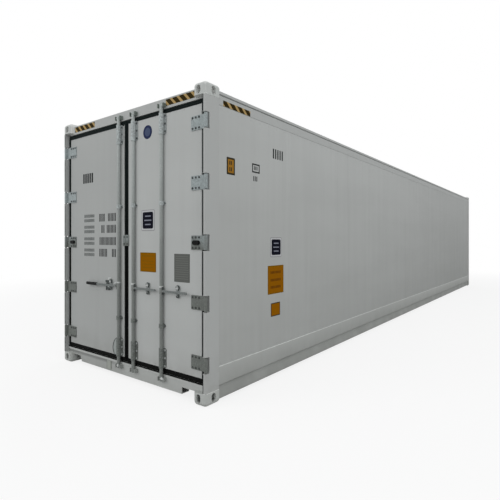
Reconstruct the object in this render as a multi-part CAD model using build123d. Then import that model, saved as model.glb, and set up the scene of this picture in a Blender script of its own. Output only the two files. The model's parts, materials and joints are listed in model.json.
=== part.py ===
from build123d import *
import os

# High-cube insulated container, 40 ft long, with two hinged doors at one end.
# X runs along the length with the door end at -X, Y runs across, Z is up.
# The origin is the middle of the footprint on the ground. All lengths are in mm.
# "Depth" is measured from the outermost face of an end, "inset" from a side.

# Overall size
LENGTH = 12192
WIDTH = 2438
HEIGHT = 2896
CUT_OVERRUN = 10

# Corner castings
CASTING_LENGTH = 178
CASTING_WIDTH = 162
CASTING_HEIGHT = 118
CASTING_PLATE = 28
CASTING_WALL = 18
CASTING_INNER_WALL = 10
CASTING_ROUNDING = 40
CASTING_WINDOW_FROM_END = 90
CASTING_WINDOW_LENGTH = 72
CASTING_WINDOW_HEIGHT = 56
SLOT_LENGTH = 124
SLOT_WIDTH = 63.5
SLOT_FROM_END = 103.5
SLOT_FROM_SIDE = 89.5
GRIP_HOLE_WIDTH = 51
GRIP_HOLE_HEIGHT = 79

# Corner posts
POST_SETBACK = 6
POST_INSET = 4
POST_FACE = 36
POST_WEB_DEPTH = 136
POST_BACK_WIDTH = 77
POST_ROUNDING = 8

# Door hinges
HINGE_COUNT = 5
LOWEST_HINGE = 370
HIGHEST_HINGE_DROP = 349
HINGE_PIN_DEPTH = 22
HINGE_PIN_INSET = 18
HINGE_PIN_RADIUS = 9
HINGE_PIN_CLEARANCE = 0.4
HINGE_BARREL_WALL = 6.6
STRAP_THICKNESS = 8
STRAP_HEIGHT = 130
STRAP_REACH = 203
STRAP_ROUNDING = 6
HINGE_POCKET_GAP = 8

# Door header
HEADER_DEPTH = 46
HEADER_TOP_DROP = 34
HEADER_HEIGHT = 102
HEADER_ROUNDING = 6

# Door sill
SILL_DEPTH = 50
SILL_TOP = 182
SILL_BOTTOM = 36
SILL_LIP = 4
SILL_LIP_HEIGHT = 32
SILL_APRON_TOP = 100
SILL_APRON_LEFT_SHORT = 133
SILL_APRON_LEFT_SLANT = 40
SILL_APRON_RIGHT_SHORT = 198
SILL_APRON_WALL = 8
SILL_APRON_POCKET = 160
SILL_ROUNDING = 3

# Closed front end
FRONT_SETBACK = 30

# Side, roof and floor sandwich panels
WALL_INSET = 8
WALL_THICKNESS = 70
LINING = 3
ROOF_TOP_DROP = 38
ROOF_THICKNESS = 87
FLOOR_BOTTOM = 100
FLOOR_THICKNESS = 68

# Top side rails
TOP_RAIL_INSET = 5
TOP_RAIL_BAND_LOW_DROP = 175
TOP_RAIL_BAND_HEIGHT = 85
TOP_RAIL_GROOVE_INSET = 24
TOP_RAIL_GROOVE_HEIGHT = 16
TOP_RAIL_GROOVE_SLOPE = 4
TOP_RAIL_LIP_INSET = 9
TOP_RAIL_LIP_HEIGHT = 22
TOP_RAIL_CHAMFER = 8

# Bottom side rails
BOTTOM_RAIL_INSET = 4
BOTTOM_RAIL_TOP = 324
BOTTOM_RAIL_GROOVE_TOP = 158
BOTTOM_RAIL_GROOVE_INSET = 40
BOTTOM_RAIL_GROOVE_RISE = 8
BOTTOM_RAIL_FOOT_INSET = 12
BOTTOM_RAIL_FOOT_HEIGHT = 12
BOTTOM_RAIL_BOTTOM = 28

# T-bar floor
T_BAR_COUNT = 35
T_BAR_BASE = 6
T_BAR_STEM = 6
T_BAR_HEAD = 40
T_BAR_HEAD_THICKNESS = 6
T_BAR_RISE = 60
T_BAR_EDGE = 50

# Cross members under the floor
CROSS_MEMBER_COUNT = 28
CROSS_MEMBER_END_GAP = 300
CROSS_MEMBER_FLANGE = 45
CROSS_MEMBER_WALL = 5
CROSS_MEMBER_BOTTOM = 34

# Door leaves and their seals
LEAF_FACE_DEPTH = 46
LEAF_THICKNESS = 90
LEAF_ROUNDING = 5
SEAL_CLEARANCE = 5
SEAL_SIDE_BAND = 47
SEAL_TOP_BAND = 35
SEAL_BOTTOM_BAND = 45
SEAL_CENTRE_BAND = 32
SEAL_CENTRE_HALF_GAP = 4
SEAL_FACE_DEPTH = 52
SEAL_THICKNESS = 40

# Lock rods, their cams and the keepers that hold them
ROD_RADIUS = 17
ROD_DEPTH = 24
ROD_BOTTOM = 112
ROD_TOP_DROP = 81
LEFT_ROD_SHARE = 0.065
RIGHT_INNER_ROD_SHARE = 0.1035
RIGHT_OUTER_ROD_SHARE = 0.5125
CAM_REACH = 26
CAM_THICKNESS = 18
CAM_HEIGHT = 24
CAM_FROM_ROD_END = 12
KEEPER_GAP = 8
KEEPER_THICKNESS = 10
KEEPER_HEIGHT = 40
KEEPER_FACE_DEPTH = 10

# Rod brackets
BRACKET_CLEARANCE = 0.4
BRACKET_WALL = 6
BRACKET_FLANGE_HALF_WIDTH = 52
BRACKET_FLANGE_THICKNESS = 6
BRACKET_FLANGE_CORNER = 16
TOP_BRACKET_HEIGHT = 205
TOP_BRACKET_EDGE = 4
BOTTOM_BRACKET_HEIGHT = 195
BOTTOM_BRACKET_EDGE = 6
GUIDE_HEIGHT = 40
GUIDE_FLANGE_HALF_WIDTH = 44
UPPER_GUIDE_CENTRE = 1840
LOWER_GUIDE_CENTRE = 648

# Handles, their hubs on the rods and the retainers on the doors
HANDLE_CENTRE = 988
HANDLE_PIVOT_OFFSET = 38
HANDLE_BAR_HEIGHT = 20
HANDLE_BAR_THICKNESS = 12
HANDLE_FACE_DEPTH = 8
HANDLE_PLAY = 0.3
RIVET_RADIUS = 5
RIVET_CLEARANCE = 0.4
RIVET_HEAD_RADIUS = 9
RIVET_HEAD_THICKNESS = 4
HUB_RADIUS = 20
HUB_HEIGHT = 56
HUB_LUG_THICKNESS = 10
RIGHT_HANDLE_REACH_SHARE = 0.336
LEFT_HANDLE_REACH_SHARE = 0.549
GRIP_LENGTH = 207
GRIP_WALL = 4
GRIP_ROUNDING = 6
GRIP_END_CAP = 10
RIGHT_RETAINER_SHARE = 0.204
LEFT_RETAINER_SHARE = 0.153
RETAINER_WIDTH = 46
RETAINER_RISE = 65
RETAINER_DROP = 52
RETAINER_PLATE = 10
RETAINER_SHELF_GAP = 0.5
RETAINER_SHELF_THICKNESS = 12
RETAINER_HOOK_THICKNESS = 14
RETAINER_HOOK_REACH = 14
RETAINER_ROUNDING = 4

# Lap plates over the joint between the doors
LAP_PLATE_HALF_WIDTH = 48
LAP_PLATE_HALF_GAP = 3
LAP_PLATE_BOTTOM = 1421
LAP_PLATE_HEIGHT = 116
LAP_PLATE_THICKNESS = 8

# Levels and lines that several pieces share
RIGHT = -1
LEFT = 1
CASTING_BOTTOM_TOP = CASTING_HEIGHT
CASTING_TOP_BOTTOM = HEIGHT - CASTING_HEIGHT
HEADER_TOP = HEIGHT - HEADER_TOP_DROP
HEADER_BOTTOM = HEADER_TOP - HEADER_HEIGHT
POST_WEB_BACK = POST_SETBACK + POST_WEB_DEPTH
POST_INNER = POST_INSET + POST_FACE
POST_BACK_INNER = POST_INSET + POST_BACK_WIDTH
WALL_INNER = WALL_INSET + WALL_THICKNESS
LINING_INNER = WALL_INNER + LINING
ROOF_TOP = HEIGHT - ROOF_TOP_DROP
ROOF_BOTTOM = ROOF_TOP - ROOF_THICKNESS
CEILING = ROOF_BOTTOM - LINING
FLOOR_TOP = FLOOR_BOTTOM + FLOOR_THICKNESS
TOP_RAIL_BOTTOM = HEIGHT - TOP_RAIL_BAND_LOW_DROP
LEAF_BACK_DEPTH = LEAF_FACE_DEPTH + LEAF_THICKNESS
SEAL_OUTER_INSET = POST_INNER + SEAL_CLEARANCE
SEAL_BOTTOM = SILL_TOP + SEAL_CLEARANCE
SEAL_TOP = HEADER_BOTTOM - SEAL_CLEARANCE
LEAF_OUTER_INSET = SEAL_OUTER_INSET + SEAL_SIDE_BAND
LEAF_CENTRE_EDGE = SEAL_CENTRE_HALF_GAP + SEAL_CENTRE_BAND
LEAF_BOTTOM = SEAL_BOTTOM + SEAL_BOTTOM_BAND
LEAF_TOP = SEAL_TOP - SEAL_TOP_BAND
LEAF_WIDTH = WIDTH / 2 - LEAF_OUTER_INSET - LEAF_CENTRE_EDGE
ROD_TOP = HEIGHT - ROD_TOP_DROP
LEFT_ROD_Y = LEAF_CENTRE_EDGE + LEAF_WIDTH * LEFT_ROD_SHARE
RIGHT_INNER_ROD_Y = -LEAF_CENTRE_EDGE - LEAF_WIDTH * RIGHT_INNER_ROD_SHARE
RIGHT_OUTER_ROD_Y = -LEAF_CENTRE_EDGE - LEAF_WIDTH * RIGHT_OUTER_ROD_SHARE
ROD_CLEAR_RADIUS = ROD_RADIUS + BRACKET_CLEARANCE
HINGE_BARREL_RADIUS = HINGE_PIN_RADIUS + HINGE_PIN_CLEARANCE + HINGE_BARREL_WALL
HINGE_STEP = (HEIGHT - HIGHEST_HINGE_DROP - LOWEST_HINGE) / (HINGE_COUNT - 1)
HINGE_HEIGHTS = [LOWEST_HINGE + index * HINGE_STEP for index in range(HINGE_COUNT)]
HINGE_POCKET_HEIGHT = STRAP_HEIGHT + 2 * HINGE_POCKET_GAP
HINGE_POCKET_BACK = LEAF_FACE_DEPTH + HINGE_POCKET_GAP
HANDLE_BACK_DEPTH = HANDLE_FACE_DEPTH + HANDLE_BAR_THICKNESS
RIGHT_RODS = [RIGHT_INNER_ROD_Y, RIGHT_OUTER_ROD_Y]


def depth_x(depth):
    """X of a plane this far behind the door end."""
    return depth - LENGTH / 2


def front_x(depth):
    """X of a plane this far behind the closed front end."""
    return LENGTH / 2 - depth


def inset_y(side, inset):
    """Y of a plane this far inside one side of the box."""
    return side * (WIDTH / 2 - inset)


def block(x_pair, y_pair, z_pair):
    """Rectangular solid between three pairs of planes."""
    spans = [sorted(pair) for pair in (x_pair, y_pair, z_pair)]
    sizes = [high - low for low, high in spans]
    centre = [(low + high) / 2 for low, high in spans]
    return Pos(*centre) * Box(*sizes)


def centred(middle, size):
    """Pair of planes either side of a middle plane."""
    return (middle - size / 2, middle + size / 2)


def lengthwise(outline, x_pair):
    """Prism along X on an outline of (y, z) points."""
    low, high = sorted(x_pair)
    face = make_face(Polyline(*outline, close=True))
    return extrude(Plane.YZ.offset(low) * face, high - low)


def upright_cylinder(x, y, radius, z_pair):
    """Round bar standing between two heights."""
    low, high = sorted(z_pair)
    return Pos(x, y, (low + high) / 2) * Cylinder(radius, high - low)


def lengthwise_cylinder(y, z, radius, x_pair):
    """Round bar lying along X."""
    low, high = sorted(x_pair)
    return Pos((low + high) / 2, y, z) * Rot(0, 90, 0) * Cylinder(radius, high - low)


def gathered(pieces):
    """One compound of solids that don't touch each other."""
    return Compound([solid for piece in pieces for solid in piece.solids()])


def corner_casting():
    """Hollow casting at the right bottom corner of the door end."""
    at_corner = (Align.MIN, Align.MIN, Align.MIN)
    shell = Box(CASTING_LENGTH, CASTING_WIDTH, CASTING_HEIGHT, align=at_corner)
    ground_edges = shell.faces().sort_by(Axis.Z)[0].edges()
    end_edges = shell.faces().sort_by(Axis.X)[0].edges().filter_by(Axis.Z)
    shell = fillet(ground_edges + end_edges, CASTING_ROUNDING)
    cavity_length = CASTING_LENGTH - CASTING_WALL - CASTING_INNER_WALL
    cavity_width = CASTING_WIDTH - CASTING_WALL - CASTING_INNER_WALL
    cavity_height = CASTING_HEIGHT - CASTING_PLATE - CASTING_INNER_WALL
    cavity = Box(cavity_length, cavity_width, cavity_height, align=at_corner)
    shell -= Pos(CASTING_WALL, CASTING_WALL, CASTING_PLATE) * cavity
    slot = extrude(SlotOverall(SLOT_LENGTH, SLOT_WIDTH), CASTING_PLATE + 2 * CUT_OVERRUN)
    shell -= Pos(SLOT_FROM_END, SLOT_FROM_SIDE, -CUT_OVERRUN) * slot
    hole_outline = SlotOverall(GRIP_HOLE_HEIGHT, GRIP_HOLE_WIDTH, rotation=90)
    hole_middle = CASTING_PLATE + cavity_height / 2
    end_hole = extrude(Plane.YZ * hole_outline, CASTING_WALL + 2 * CUT_OVERRUN)
    shell -= Pos(-CUT_OVERRUN, SLOT_FROM_SIDE, hole_middle) * end_hole
    side_hole = extrude(Plane.XZ * hole_outline, -CASTING_WALL - 2 * CUT_OVERRUN)
    shell -= Pos(SLOT_FROM_END, -CUT_OVERRUN, hole_middle) * side_hole
    from_end = (Align.MIN, Align.MIN, Align.CENTER)
    window_width = CASTING_INNER_WALL + 2 * CUT_OVERRUN
    window = Box(CASTING_WINDOW_LENGTH, window_width, CASTING_WINDOW_HEIGHT, align=from_end)
    window_y = CASTING_WIDTH - CASTING_INNER_WALL - CUT_OVERRUN
    shell -= Pos(CASTING_WINDOW_FROM_END, window_y, hole_middle) * window
    return Pos(-LENGTH / 2, -WIDTH / 2, 0) * shell


def four_castings(first):
    """The casting and its mirror images at the other corners of one level."""
    door_end = [first, mirror(first, Plane.XZ)]
    front_end = [mirror(casting, Plane.YZ) for casting in door_end]
    return gathered(door_end + front_end)


def door_post(side):
    """Channel post with a pocket cut for each hinge."""
    heights = (CASTING_BOTTOM_TOP, CASTING_TOP_BOTTOM)
    outer_y = inset_y(side, POST_INSET)
    web_x = (depth_x(POST_SETBACK), depth_x(POST_WEB_BACK))
    web = block(web_x, (outer_y, inset_y(side, POST_INNER)), heights)
    back_x = (depth_x(POST_WEB_BACK), depth_x(CASTING_LENGTH))
    back = block(back_x, (outer_y, inset_y(side, POST_BACK_INNER)), heights)
    post = web + back
    corner = (depth_x(POST_SETBACK), outer_y, HEIGHT / 2)
    edge = post.edges().filter_by(Axis.Z).sort_by_distance(corner)[0]
    post = fillet(edge, POST_ROUNDING)
    pocket_x = (depth_x(-CUT_OVERRUN), depth_x(HINGE_POCKET_BACK))
    pocket_y = (inset_y(side, -CUT_OVERRUN), inset_y(side, POST_INNER + SEAL_CLEARANCE))
    for height in HINGE_HEIGHTS:
        post -= block(pocket_x, pocket_y, centred(height, HINGE_POCKET_HEIGHT))
    return post


def front_post(side):
    """Plain box post at the closed end."""
    post_x = (front_x(POST_SETBACK), front_x(CASTING_LENGTH))
    post_y = (inset_y(side, POST_INSET), inset_y(side, POST_BACK_INNER))
    post = block(post_x, post_y, (CASTING_BOTTOM_TOP, CASTING_TOP_BOTTOM))
    corner = (front_x(POST_SETBACK), inset_y(side, POST_INSET), HEIGHT / 2)
    edge = post.edges().filter_by(Axis.Z).sort_by_distance(corner)[0]
    return fillet(edge, POST_ROUNDING)


def between_sides(inset):
    """Pair of planes the same inset from both sides."""
    return (inset_y(RIGHT, inset), inset_y(LEFT, inset))


def header(face_x, back_x):
    """Box beam between the top castings with a strip below them."""
    beam = block((face_x, back_x), between_sides(CASTING_WIDTH), (HEADER_BOTTOM, HEADER_TOP))
    strip_z = (HEADER_BOTTOM, CASTING_TOP_BOTTOM)
    strip = block((face_x, back_x), between_sides(POST_BACK_INNER), strip_z)
    beam = beam + strip
    top_corner = (face_x, 0, HEADER_TOP)
    edge = beam.edges().filter_by(Axis.Y).sort_by_distance(top_corner)[0]
    return fillet(edge, HEADER_ROUNDING)


def door_sill():
    """Threshold beam with a lip along its top and an open-ended apron between the castings."""
    face_x = depth_x(SILL_DEPTH)
    web_back = depth_x(POST_WEB_BACK)
    upper_z = (CASTING_BOTTOM_TOP, SILL_TOP)
    sill = block((face_x, web_back), between_sides(POST_INNER), upper_z)
    step = block((web_back, depth_x(CASTING_LENGTH)), between_sides(POST_BACK_INNER), upper_z)
    lip_x = (depth_x(SILL_DEPTH - SILL_LIP), face_x)
    lip = block(lip_x, between_sides(POST_INNER), (SILL_TOP - SILL_LIP_HEIGHT, SILL_TOP))
    neck_z = (SILL_APRON_TOP, CASTING_BOTTOM_TOP)
    neck = block((face_x, web_back), between_sides(CASTING_WIDTH), neck_z)
    right_end = inset_y(RIGHT, CASTING_WIDTH + SILL_APRON_RIGHT_SHORT)
    left_end = inset_y(LEFT, CASTING_WIDTH + SILL_APRON_LEFT_SHORT)
    apron_outline = [
        (right_end, SILL_BOTTOM),
        (left_end - SILL_APRON_LEFT_SLANT, SILL_BOTTOM),
        (left_end, SILL_APRON_TOP),
        (right_end, SILL_APRON_TOP),
    ]
    apron = lengthwise(apron_outline, (face_x, web_back))
    pocket_x = (face_x + SILL_APRON_WALL, web_back - SILL_APRON_WALL)
    pocket_z = (SILL_BOTTOM + SILL_APRON_WALL, SILL_APRON_TOP - SILL_APRON_WALL)
    right_pocket_y = (right_end - CUT_OVERRUN, right_end + SILL_APRON_POCKET)
    left_pocket_y = (left_end - SILL_APRON_POCKET, left_end + CUT_OVERRUN)
    for pocket_y in (right_pocket_y, left_pocket_y):
        apron -= block(pocket_x, pocket_y, pocket_z)
    sill = sill + step + lip + neck + apron
    lip_corner = (depth_x(SILL_DEPTH - SILL_LIP), 0, SILL_TOP)
    edge = sill.edges().filter_by(Axis.Y).sort_by_distance(lip_corner)[0]
    return fillet(edge, SILL_ROUNDING)


def front_sill():
    """Plain beam below the closed end wall."""
    sill_x = (front_x(FRONT_SETBACK), front_x(CASTING_LENGTH))
    upper = block(sill_x, between_sides(POST_BACK_INNER), (CASTING_BOTTOM_TOP, SILL_TOP))
    lower = block(sill_x, between_sides(CASTING_WIDTH), (SILL_BOTTOM, CASTING_BOTTOM_TOP))
    return upper + lower


def body_x():
    """Stretch of the length between the castings of the two ends."""
    return (depth_x(CASTING_LENGTH), front_x(CASTING_LENGTH))


def top_rail(side):
    """Long rail with a wide lower band, a groove and a narrow lip above it."""
    band_top = TOP_RAIL_BOTTOM + TOP_RAIL_BAND_HEIGHT
    lip_bottom = band_top + TOP_RAIL_GROOVE_HEIGHT
    lip_top = lip_bottom + TOP_RAIL_LIP_HEIGHT
    rail_top = lip_top + TOP_RAIL_CHAMFER
    outline = [
        (inset_y(side, TOP_RAIL_INSET), TOP_RAIL_BOTTOM),
        (inset_y(side, TOP_RAIL_INSET), band_top),
        (inset_y(side, TOP_RAIL_GROOVE_INSET), band_top + TOP_RAIL_GROOVE_SLOPE),
        (inset_y(side, TOP_RAIL_GROOVE_INSET), lip_bottom - TOP_RAIL_GROOVE_SLOPE),
        (inset_y(side, TOP_RAIL_LIP_INSET), lip_bottom),
        (inset_y(side, TOP_RAIL_LIP_INSET), lip_top),
        (inset_y(side, TOP_RAIL_LIP_INSET + TOP_RAIL_CHAMFER), rail_top),
        (inset_y(side, WALL_INNER), rail_top),
        (inset_y(side, WALL_INNER), TOP_RAIL_BOTTOM),
    ]
    return lengthwise(outline, body_x())


def bottom_rail(side):
    """Long rail with an upper web, a groove under it and a foot that slopes out."""
    groove_bottom = BOTTOM_RAIL_GROOVE_TOP - BOTTOM_RAIL_GROOVE_RISE
    foot_top = BOTTOM_RAIL_BOTTOM + BOTTOM_RAIL_FOOT_HEIGHT
    outline = [
        (inset_y(side, BOTTOM_RAIL_INSET), BOTTOM_RAIL_TOP),
        (inset_y(side, BOTTOM_RAIL_INSET), BOTTOM_RAIL_GROOVE_TOP),
        (inset_y(side, BOTTOM_RAIL_GROOVE_INSET), groove_bottom),
        (inset_y(side, BOTTOM_RAIL_FOOT_INSET), foot_top),
        (inset_y(side, BOTTOM_RAIL_FOOT_INSET), BOTTOM_RAIL_BOTTOM),
        (inset_y(side, WALL_INNER), BOTTOM_RAIL_BOTTOM),
        (inset_y(side, WALL_INNER), BOTTOM_RAIL_TOP),
    ]
    return lengthwise(outline, body_x())


def side_wall(side):
    """Flat sandwich panel between the rails."""
    wall_y = (inset_y(side, WALL_INSET), inset_y(side, WALL_INNER))
    return block(body_x(), wall_y, (BOTTOM_RAIL_TOP, TOP_RAIL_BOTTOM))


def side_lining(side):
    """Thin sheet on the inside of a side wall and its rails."""
    lining_y = (inset_y(side, WALL_INNER), inset_y(side, LINING_INNER))
    return block(body_x(), lining_y, (FLOOR_TOP, ROOF_BOTTOM))


def front_wall():
    """Plain insulated wall that closes the far end."""
    wall_x = (front_x(FRONT_SETBACK), front_x(FRONT_SETBACK + WALL_THICKNESS))
    return block(wall_x, between_sides(POST_BACK_INNER), (SILL_TOP, HEADER_BOTTOM))


def front_lining():
    """Thin sheet on the inside of the front wall."""
    outer = FRONT_SETBACK + WALL_THICKNESS
    lining_x = (front_x(outer), front_x(outer + LINING))
    return block(lining_x, between_sides(POST_BACK_INNER), (SILL_TOP, HEADER_BOTTOM))


def roof():
    """Flat sandwich panel between the top rails."""
    return block(body_x(), between_sides(WALL_INNER), (ROOF_BOTTOM, ROOF_TOP))


def ceiling_lining():
    """Thin sheet under the roof."""
    return block(body_x(), between_sides(LINING_INNER), (CEILING, ROOF_BOTTOM))


def floor_slab():
    """Insulated floor between the bottom rails."""
    return block(body_x(), between_sides(WALL_INNER), (FLOOR_BOTTOM, FLOOR_TOP))


def t_bar_floor():
    """Extruded floor with T-shaped bars along the length."""
    half_width = WIDTH / 2 - LINING_INNER
    stem_bottom = FLOOR_TOP + T_BAR_BASE
    top = FLOOR_TOP + T_BAR_RISE
    head_bottom = top - T_BAR_HEAD_THICKNESS
    pitch = (2 * half_width - 2 * T_BAR_EDGE) / (T_BAR_COUNT - 1)
    first = T_BAR_EDGE - half_width
    outline = [(half_width, FLOOR_TOP), (-half_width, FLOOR_TOP), (-half_width, stem_bottom)]
    for index in range(T_BAR_COUNT):
        middle = first + index * pitch
        stem_left, stem_right = centred(middle, T_BAR_STEM)
        head_left, head_right = centred(middle, T_BAR_HEAD)
        outline += [(stem_left, stem_bottom), (stem_left, head_bottom), (head_left, head_bottom)]
        outline += [(head_left, top), (head_right, top), (head_right, head_bottom)]
        outline += [(stem_right, head_bottom), (stem_right, stem_bottom)]
    outline.append((half_width, stem_bottom))
    return lengthwise(outline, body_x())


def cross_members():
    """Row of channels under the floor."""
    low, high = body_x()
    first = low + CROSS_MEMBER_END_GAP
    last = high - CROSS_MEMBER_END_GAP
    step = (last - first) / (CROSS_MEMBER_COUNT - 1)
    heights = (CROSS_MEMBER_BOTTOM, FLOOR_BOTTOM)
    hollow_z = (CROSS_MEMBER_BOTTOM + CROSS_MEMBER_WALL, FLOOR_BOTTOM - CROSS_MEMBER_WALL)
    channels = []
    for index in range(CROSS_MEMBER_COUNT):
        back = first + index * step
        tip = back + CROSS_MEMBER_FLANGE
        channel = block((back, tip), between_sides(WALL_INNER), heights)
        hollow_x = (back + CROSS_MEMBER_WALL, tip + CUT_OVERRUN)
        channels.append(channel - block(hollow_x, between_sides(0), hollow_z))
    return gathered(channels)


def hinge_pins(side):
    """Pins standing in the hinge pockets of one post."""
    pin_x = depth_x(HINGE_PIN_DEPTH)
    pin_y = inset_y(side, HINGE_PIN_INSET)
    spans = [centred(height, HINGE_POCKET_HEIGHT) for height in HINGE_HEIGHTS]
    return gathered([upright_cylinder(pin_x, pin_y, HINGE_PIN_RADIUS, span) for span in spans])


def hinge_strap(side, height):
    """Flat strap on the door with a barrel that turns on the pin."""
    span = centred(height, STRAP_HEIGHT)
    pin_x = depth_x(HINGE_PIN_DEPTH)
    pin_y = inset_y(side, HINGE_PIN_INSET)
    plate_x = (depth_x(LEAF_FACE_DEPTH - STRAP_THICKNESS), depth_x(LEAF_FACE_DEPTH))
    tip_y = inset_y(side, HINGE_PIN_INSET + STRAP_REACH)
    plate = block(plate_x, (pin_y, tip_y), span)
    tip_corner = (depth_x(LEAF_FACE_DEPTH), tip_y, height)
    corners = plate.edges().filter_by(Axis.X).sort_by_distance(tip_corner)[0:2]
    plate = fillet(corners, STRAP_ROUNDING)
    root_y = (pin_y, inset_y(side, HINGE_PIN_INSET + HINGE_BARREL_RADIUS))
    root = block((pin_x, depth_x(LEAF_FACE_DEPTH)), root_y, span)
    barrel = upright_cylinder(pin_x, pin_y, HINGE_BARREL_RADIUS, span)
    bore_radius = HINGE_PIN_RADIUS + HINGE_PIN_CLEARANCE
    bore = upright_cylinder(pin_x, pin_y, bore_radius, centred(height, HINGE_POCKET_HEIGHT))
    return plate + root + barrel - bore


def hinge_straps(side):
    """All the straps of one door."""
    return gathered([hinge_strap(side, height) for height in HINGE_HEIGHTS])


def door_leaf(side):
    """Flat insulated door panel."""
    leaf_x = (depth_x(LEAF_FACE_DEPTH), depth_x(LEAF_BACK_DEPTH))
    leaf_y = (side * LEAF_CENTRE_EDGE, inset_y(side, LEAF_OUTER_INSET))
    leaf = block(leaf_x, leaf_y, (LEAF_BOTTOM, LEAF_TOP))
    return fillet(leaf.faces().sort_by(Axis.X)[0].edges(), LEAF_ROUNDING)


def door_seal(side):
    """Rubber seal around the edge of one door."""
    seal_x = (depth_x(SEAL_FACE_DEPTH), depth_x(SEAL_FACE_DEPTH + SEAL_THICKNESS))
    outer_y = (side * SEAL_CENTRE_HALF_GAP, inset_y(side, SEAL_OUTER_INSET))
    inner_y = (side * LEAF_CENTRE_EDGE, inset_y(side, LEAF_OUTER_INSET))
    seal = block(seal_x, outer_y, (SEAL_BOTTOM, SEAL_TOP))
    hole_x = (depth_x(SEAL_FACE_DEPTH - CUT_OVERRUN), depth_x(LEAF_BACK_DEPTH))
    return seal - block(hole_x, inner_y, (LEAF_BOTTOM, LEAF_TOP))


def rod_bracket(rod_y, half_width, z_pair):
    """Sleeve with side flanges that holds a rod against the door."""
    rod_x = depth_x(ROD_DEPTH)
    face_x = depth_x(LEAF_FACE_DEPTH)
    sleeve_radius = ROD_CLEAR_RADIUS + BRACKET_WALL
    sleeve = upright_cylinder(rod_x, rod_y, sleeve_radius, z_pair)
    sleeve -= block((face_x, face_x + sleeve_radius), centred(rod_y, 2 * sleeve_radius), z_pair)
    seat = block((rod_x, face_x), centred(rod_y, 2 * sleeve_radius), z_pair)
    flange_x = (face_x - BRACKET_FLANGE_THICKNESS, face_x)
    flange = block(flange_x, centred(rod_y, 2 * half_width), z_pair)
    flange = chamfer(flange.edges().filter_by(Axis.X), BRACKET_FLANGE_CORNER)
    bore = upright_cylinder(rod_x, rod_y, ROD_CLEAR_RADIUS, z_pair)
    return sleeve + seat + flange - bore


def rod_brackets(rod_positions):
    """Top and bottom brackets and two guides for each rod of one door."""
    top_z = (LEAF_TOP - TOP_BRACKET_EDGE - TOP_BRACKET_HEIGHT, LEAF_TOP - TOP_BRACKET_EDGE)
    bottom_low = LEAF_BOTTOM + BOTTOM_BRACKET_EDGE
    bottom_z = (bottom_low, bottom_low + BOTTOM_BRACKET_HEIGHT)
    brackets = []
    for rod_y in rod_positions:
        for z_pair in (top_z, bottom_z):
            brackets.append(rod_bracket(rod_y, BRACKET_FLANGE_HALF_WIDTH, z_pair))
        for middle in (UPPER_GUIDE_CENTRE, LOWER_GUIDE_CENTRE):
            z_pair = centred(middle, GUIDE_HEIGHT)
            brackets.append(rod_bracket(rod_y, GUIDE_FLANGE_HALF_WIDTH, z_pair))
    return gathered(brackets)


def cam_heights():
    """Heights of the cams at the two ends of a rod, lower one first."""
    low = ROD_BOTTOM + CAM_FROM_ROD_END
    high = ROD_TOP - CAM_FROM_ROD_END
    return [(low, low + CAM_HEIGHT), (high - CAM_HEIGHT, high)]


def lock_rod(side, rod_y):
    """Rod with a cam at each end, a hub lug for the handle and its rivet."""
    rod_x = depth_x(ROD_DEPTH)
    rod = upright_cylinder(rod_x, rod_y, ROD_RADIUS, (ROD_BOTTOM, ROD_TOP))
    for z_pair in cam_heights():
        cam_y = (rod_y, rod_y + side * CAM_REACH)
        rod += block(centred(rod_x, CAM_THICKNESS), cam_y, z_pair)
    rod += upright_cylinder(rod_x, rod_y, HUB_RADIUS, centred(HANDLE_CENTRE, HUB_HEIGHT))
    pivot_y = rod_y + side * HANDLE_PIVOT_OFFSET
    lug_front = depth_x(HANDLE_BACK_DEPTH + HANDLE_PLAY)
    lug_x = (lug_front, lug_front + HUB_LUG_THICKNESS)
    rod += block(lug_x, (rod_y, pivot_y), centred(HANDLE_CENTRE, HANDLE_BAR_HEIGHT))
    rod += lengthwise_cylinder(pivot_y, HANDLE_CENTRE, HANDLE_BAR_HEIGHT / 2, lug_x)
    head_back = depth_x(HANDLE_FACE_DEPTH - HANDLE_PLAY)
    rivet_x = (head_back, lug_front)
    rod += lengthwise_cylinder(pivot_y, HANDLE_CENTRE, RIVET_RADIUS, rivet_x)
    head_x = (head_back - RIVET_HEAD_THICKNESS, head_back)
    rod += lengthwise_cylinder(pivot_y, HANDLE_CENTRE, RIVET_HEAD_RADIUS, head_x)
    return rod


def handle_bar(side, rod_y, reach):
    """Flat bar that lifts on the hub's rivet."""
    pivot_y = rod_y + side * HANDLE_PIVOT_OFFSET
    tip_y = rod_y + side * (reach - HANDLE_BAR_HEIGHT / 2)
    bar_x = (depth_x(HANDLE_FACE_DEPTH), depth_x(HANDLE_BACK_DEPTH))
    bar = block(bar_x, (pivot_y, tip_y), centred(HANDLE_CENTRE, HANDLE_BAR_HEIGHT))
    for end_y in (pivot_y, tip_y):
        bar += lengthwise_cylinder(end_y, HANDLE_CENTRE, HANDLE_BAR_HEIGHT / 2, bar_x)
    hole_radius = RIVET_RADIUS + RIVET_CLEARANCE
    hole_x = (bar_x[0] - CUT_OVERRUN, bar_x[1] + CUT_OVERRUN)
    return bar - lengthwise_cylinder(pivot_y, HANDLE_CENTRE, hole_radius, hole_x)


def handle_grip(bar):
    """Moulded grip over the end of the left handle."""
    grip_x = (depth_x(HANDLE_FACE_DEPTH - GRIP_WALL), depth_x(HANDLE_BACK_DEPTH + GRIP_WALL))
    grip_end = LEFT_ROD_Y + LEAF_WIDTH * LEFT_HANDLE_REACH_SHARE + GRIP_END_CAP
    grip_y = (grip_end - GRIP_LENGTH, grip_end)
    grip_height = HANDLE_BAR_HEIGHT + 2 * GRIP_WALL
    grip = block(grip_x, grip_y, centred(HANDLE_CENTRE, grip_height))
    grip = fillet(grip.edges().filter_by(Axis.Y), GRIP_ROUNDING)
    return grip - bar


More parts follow.
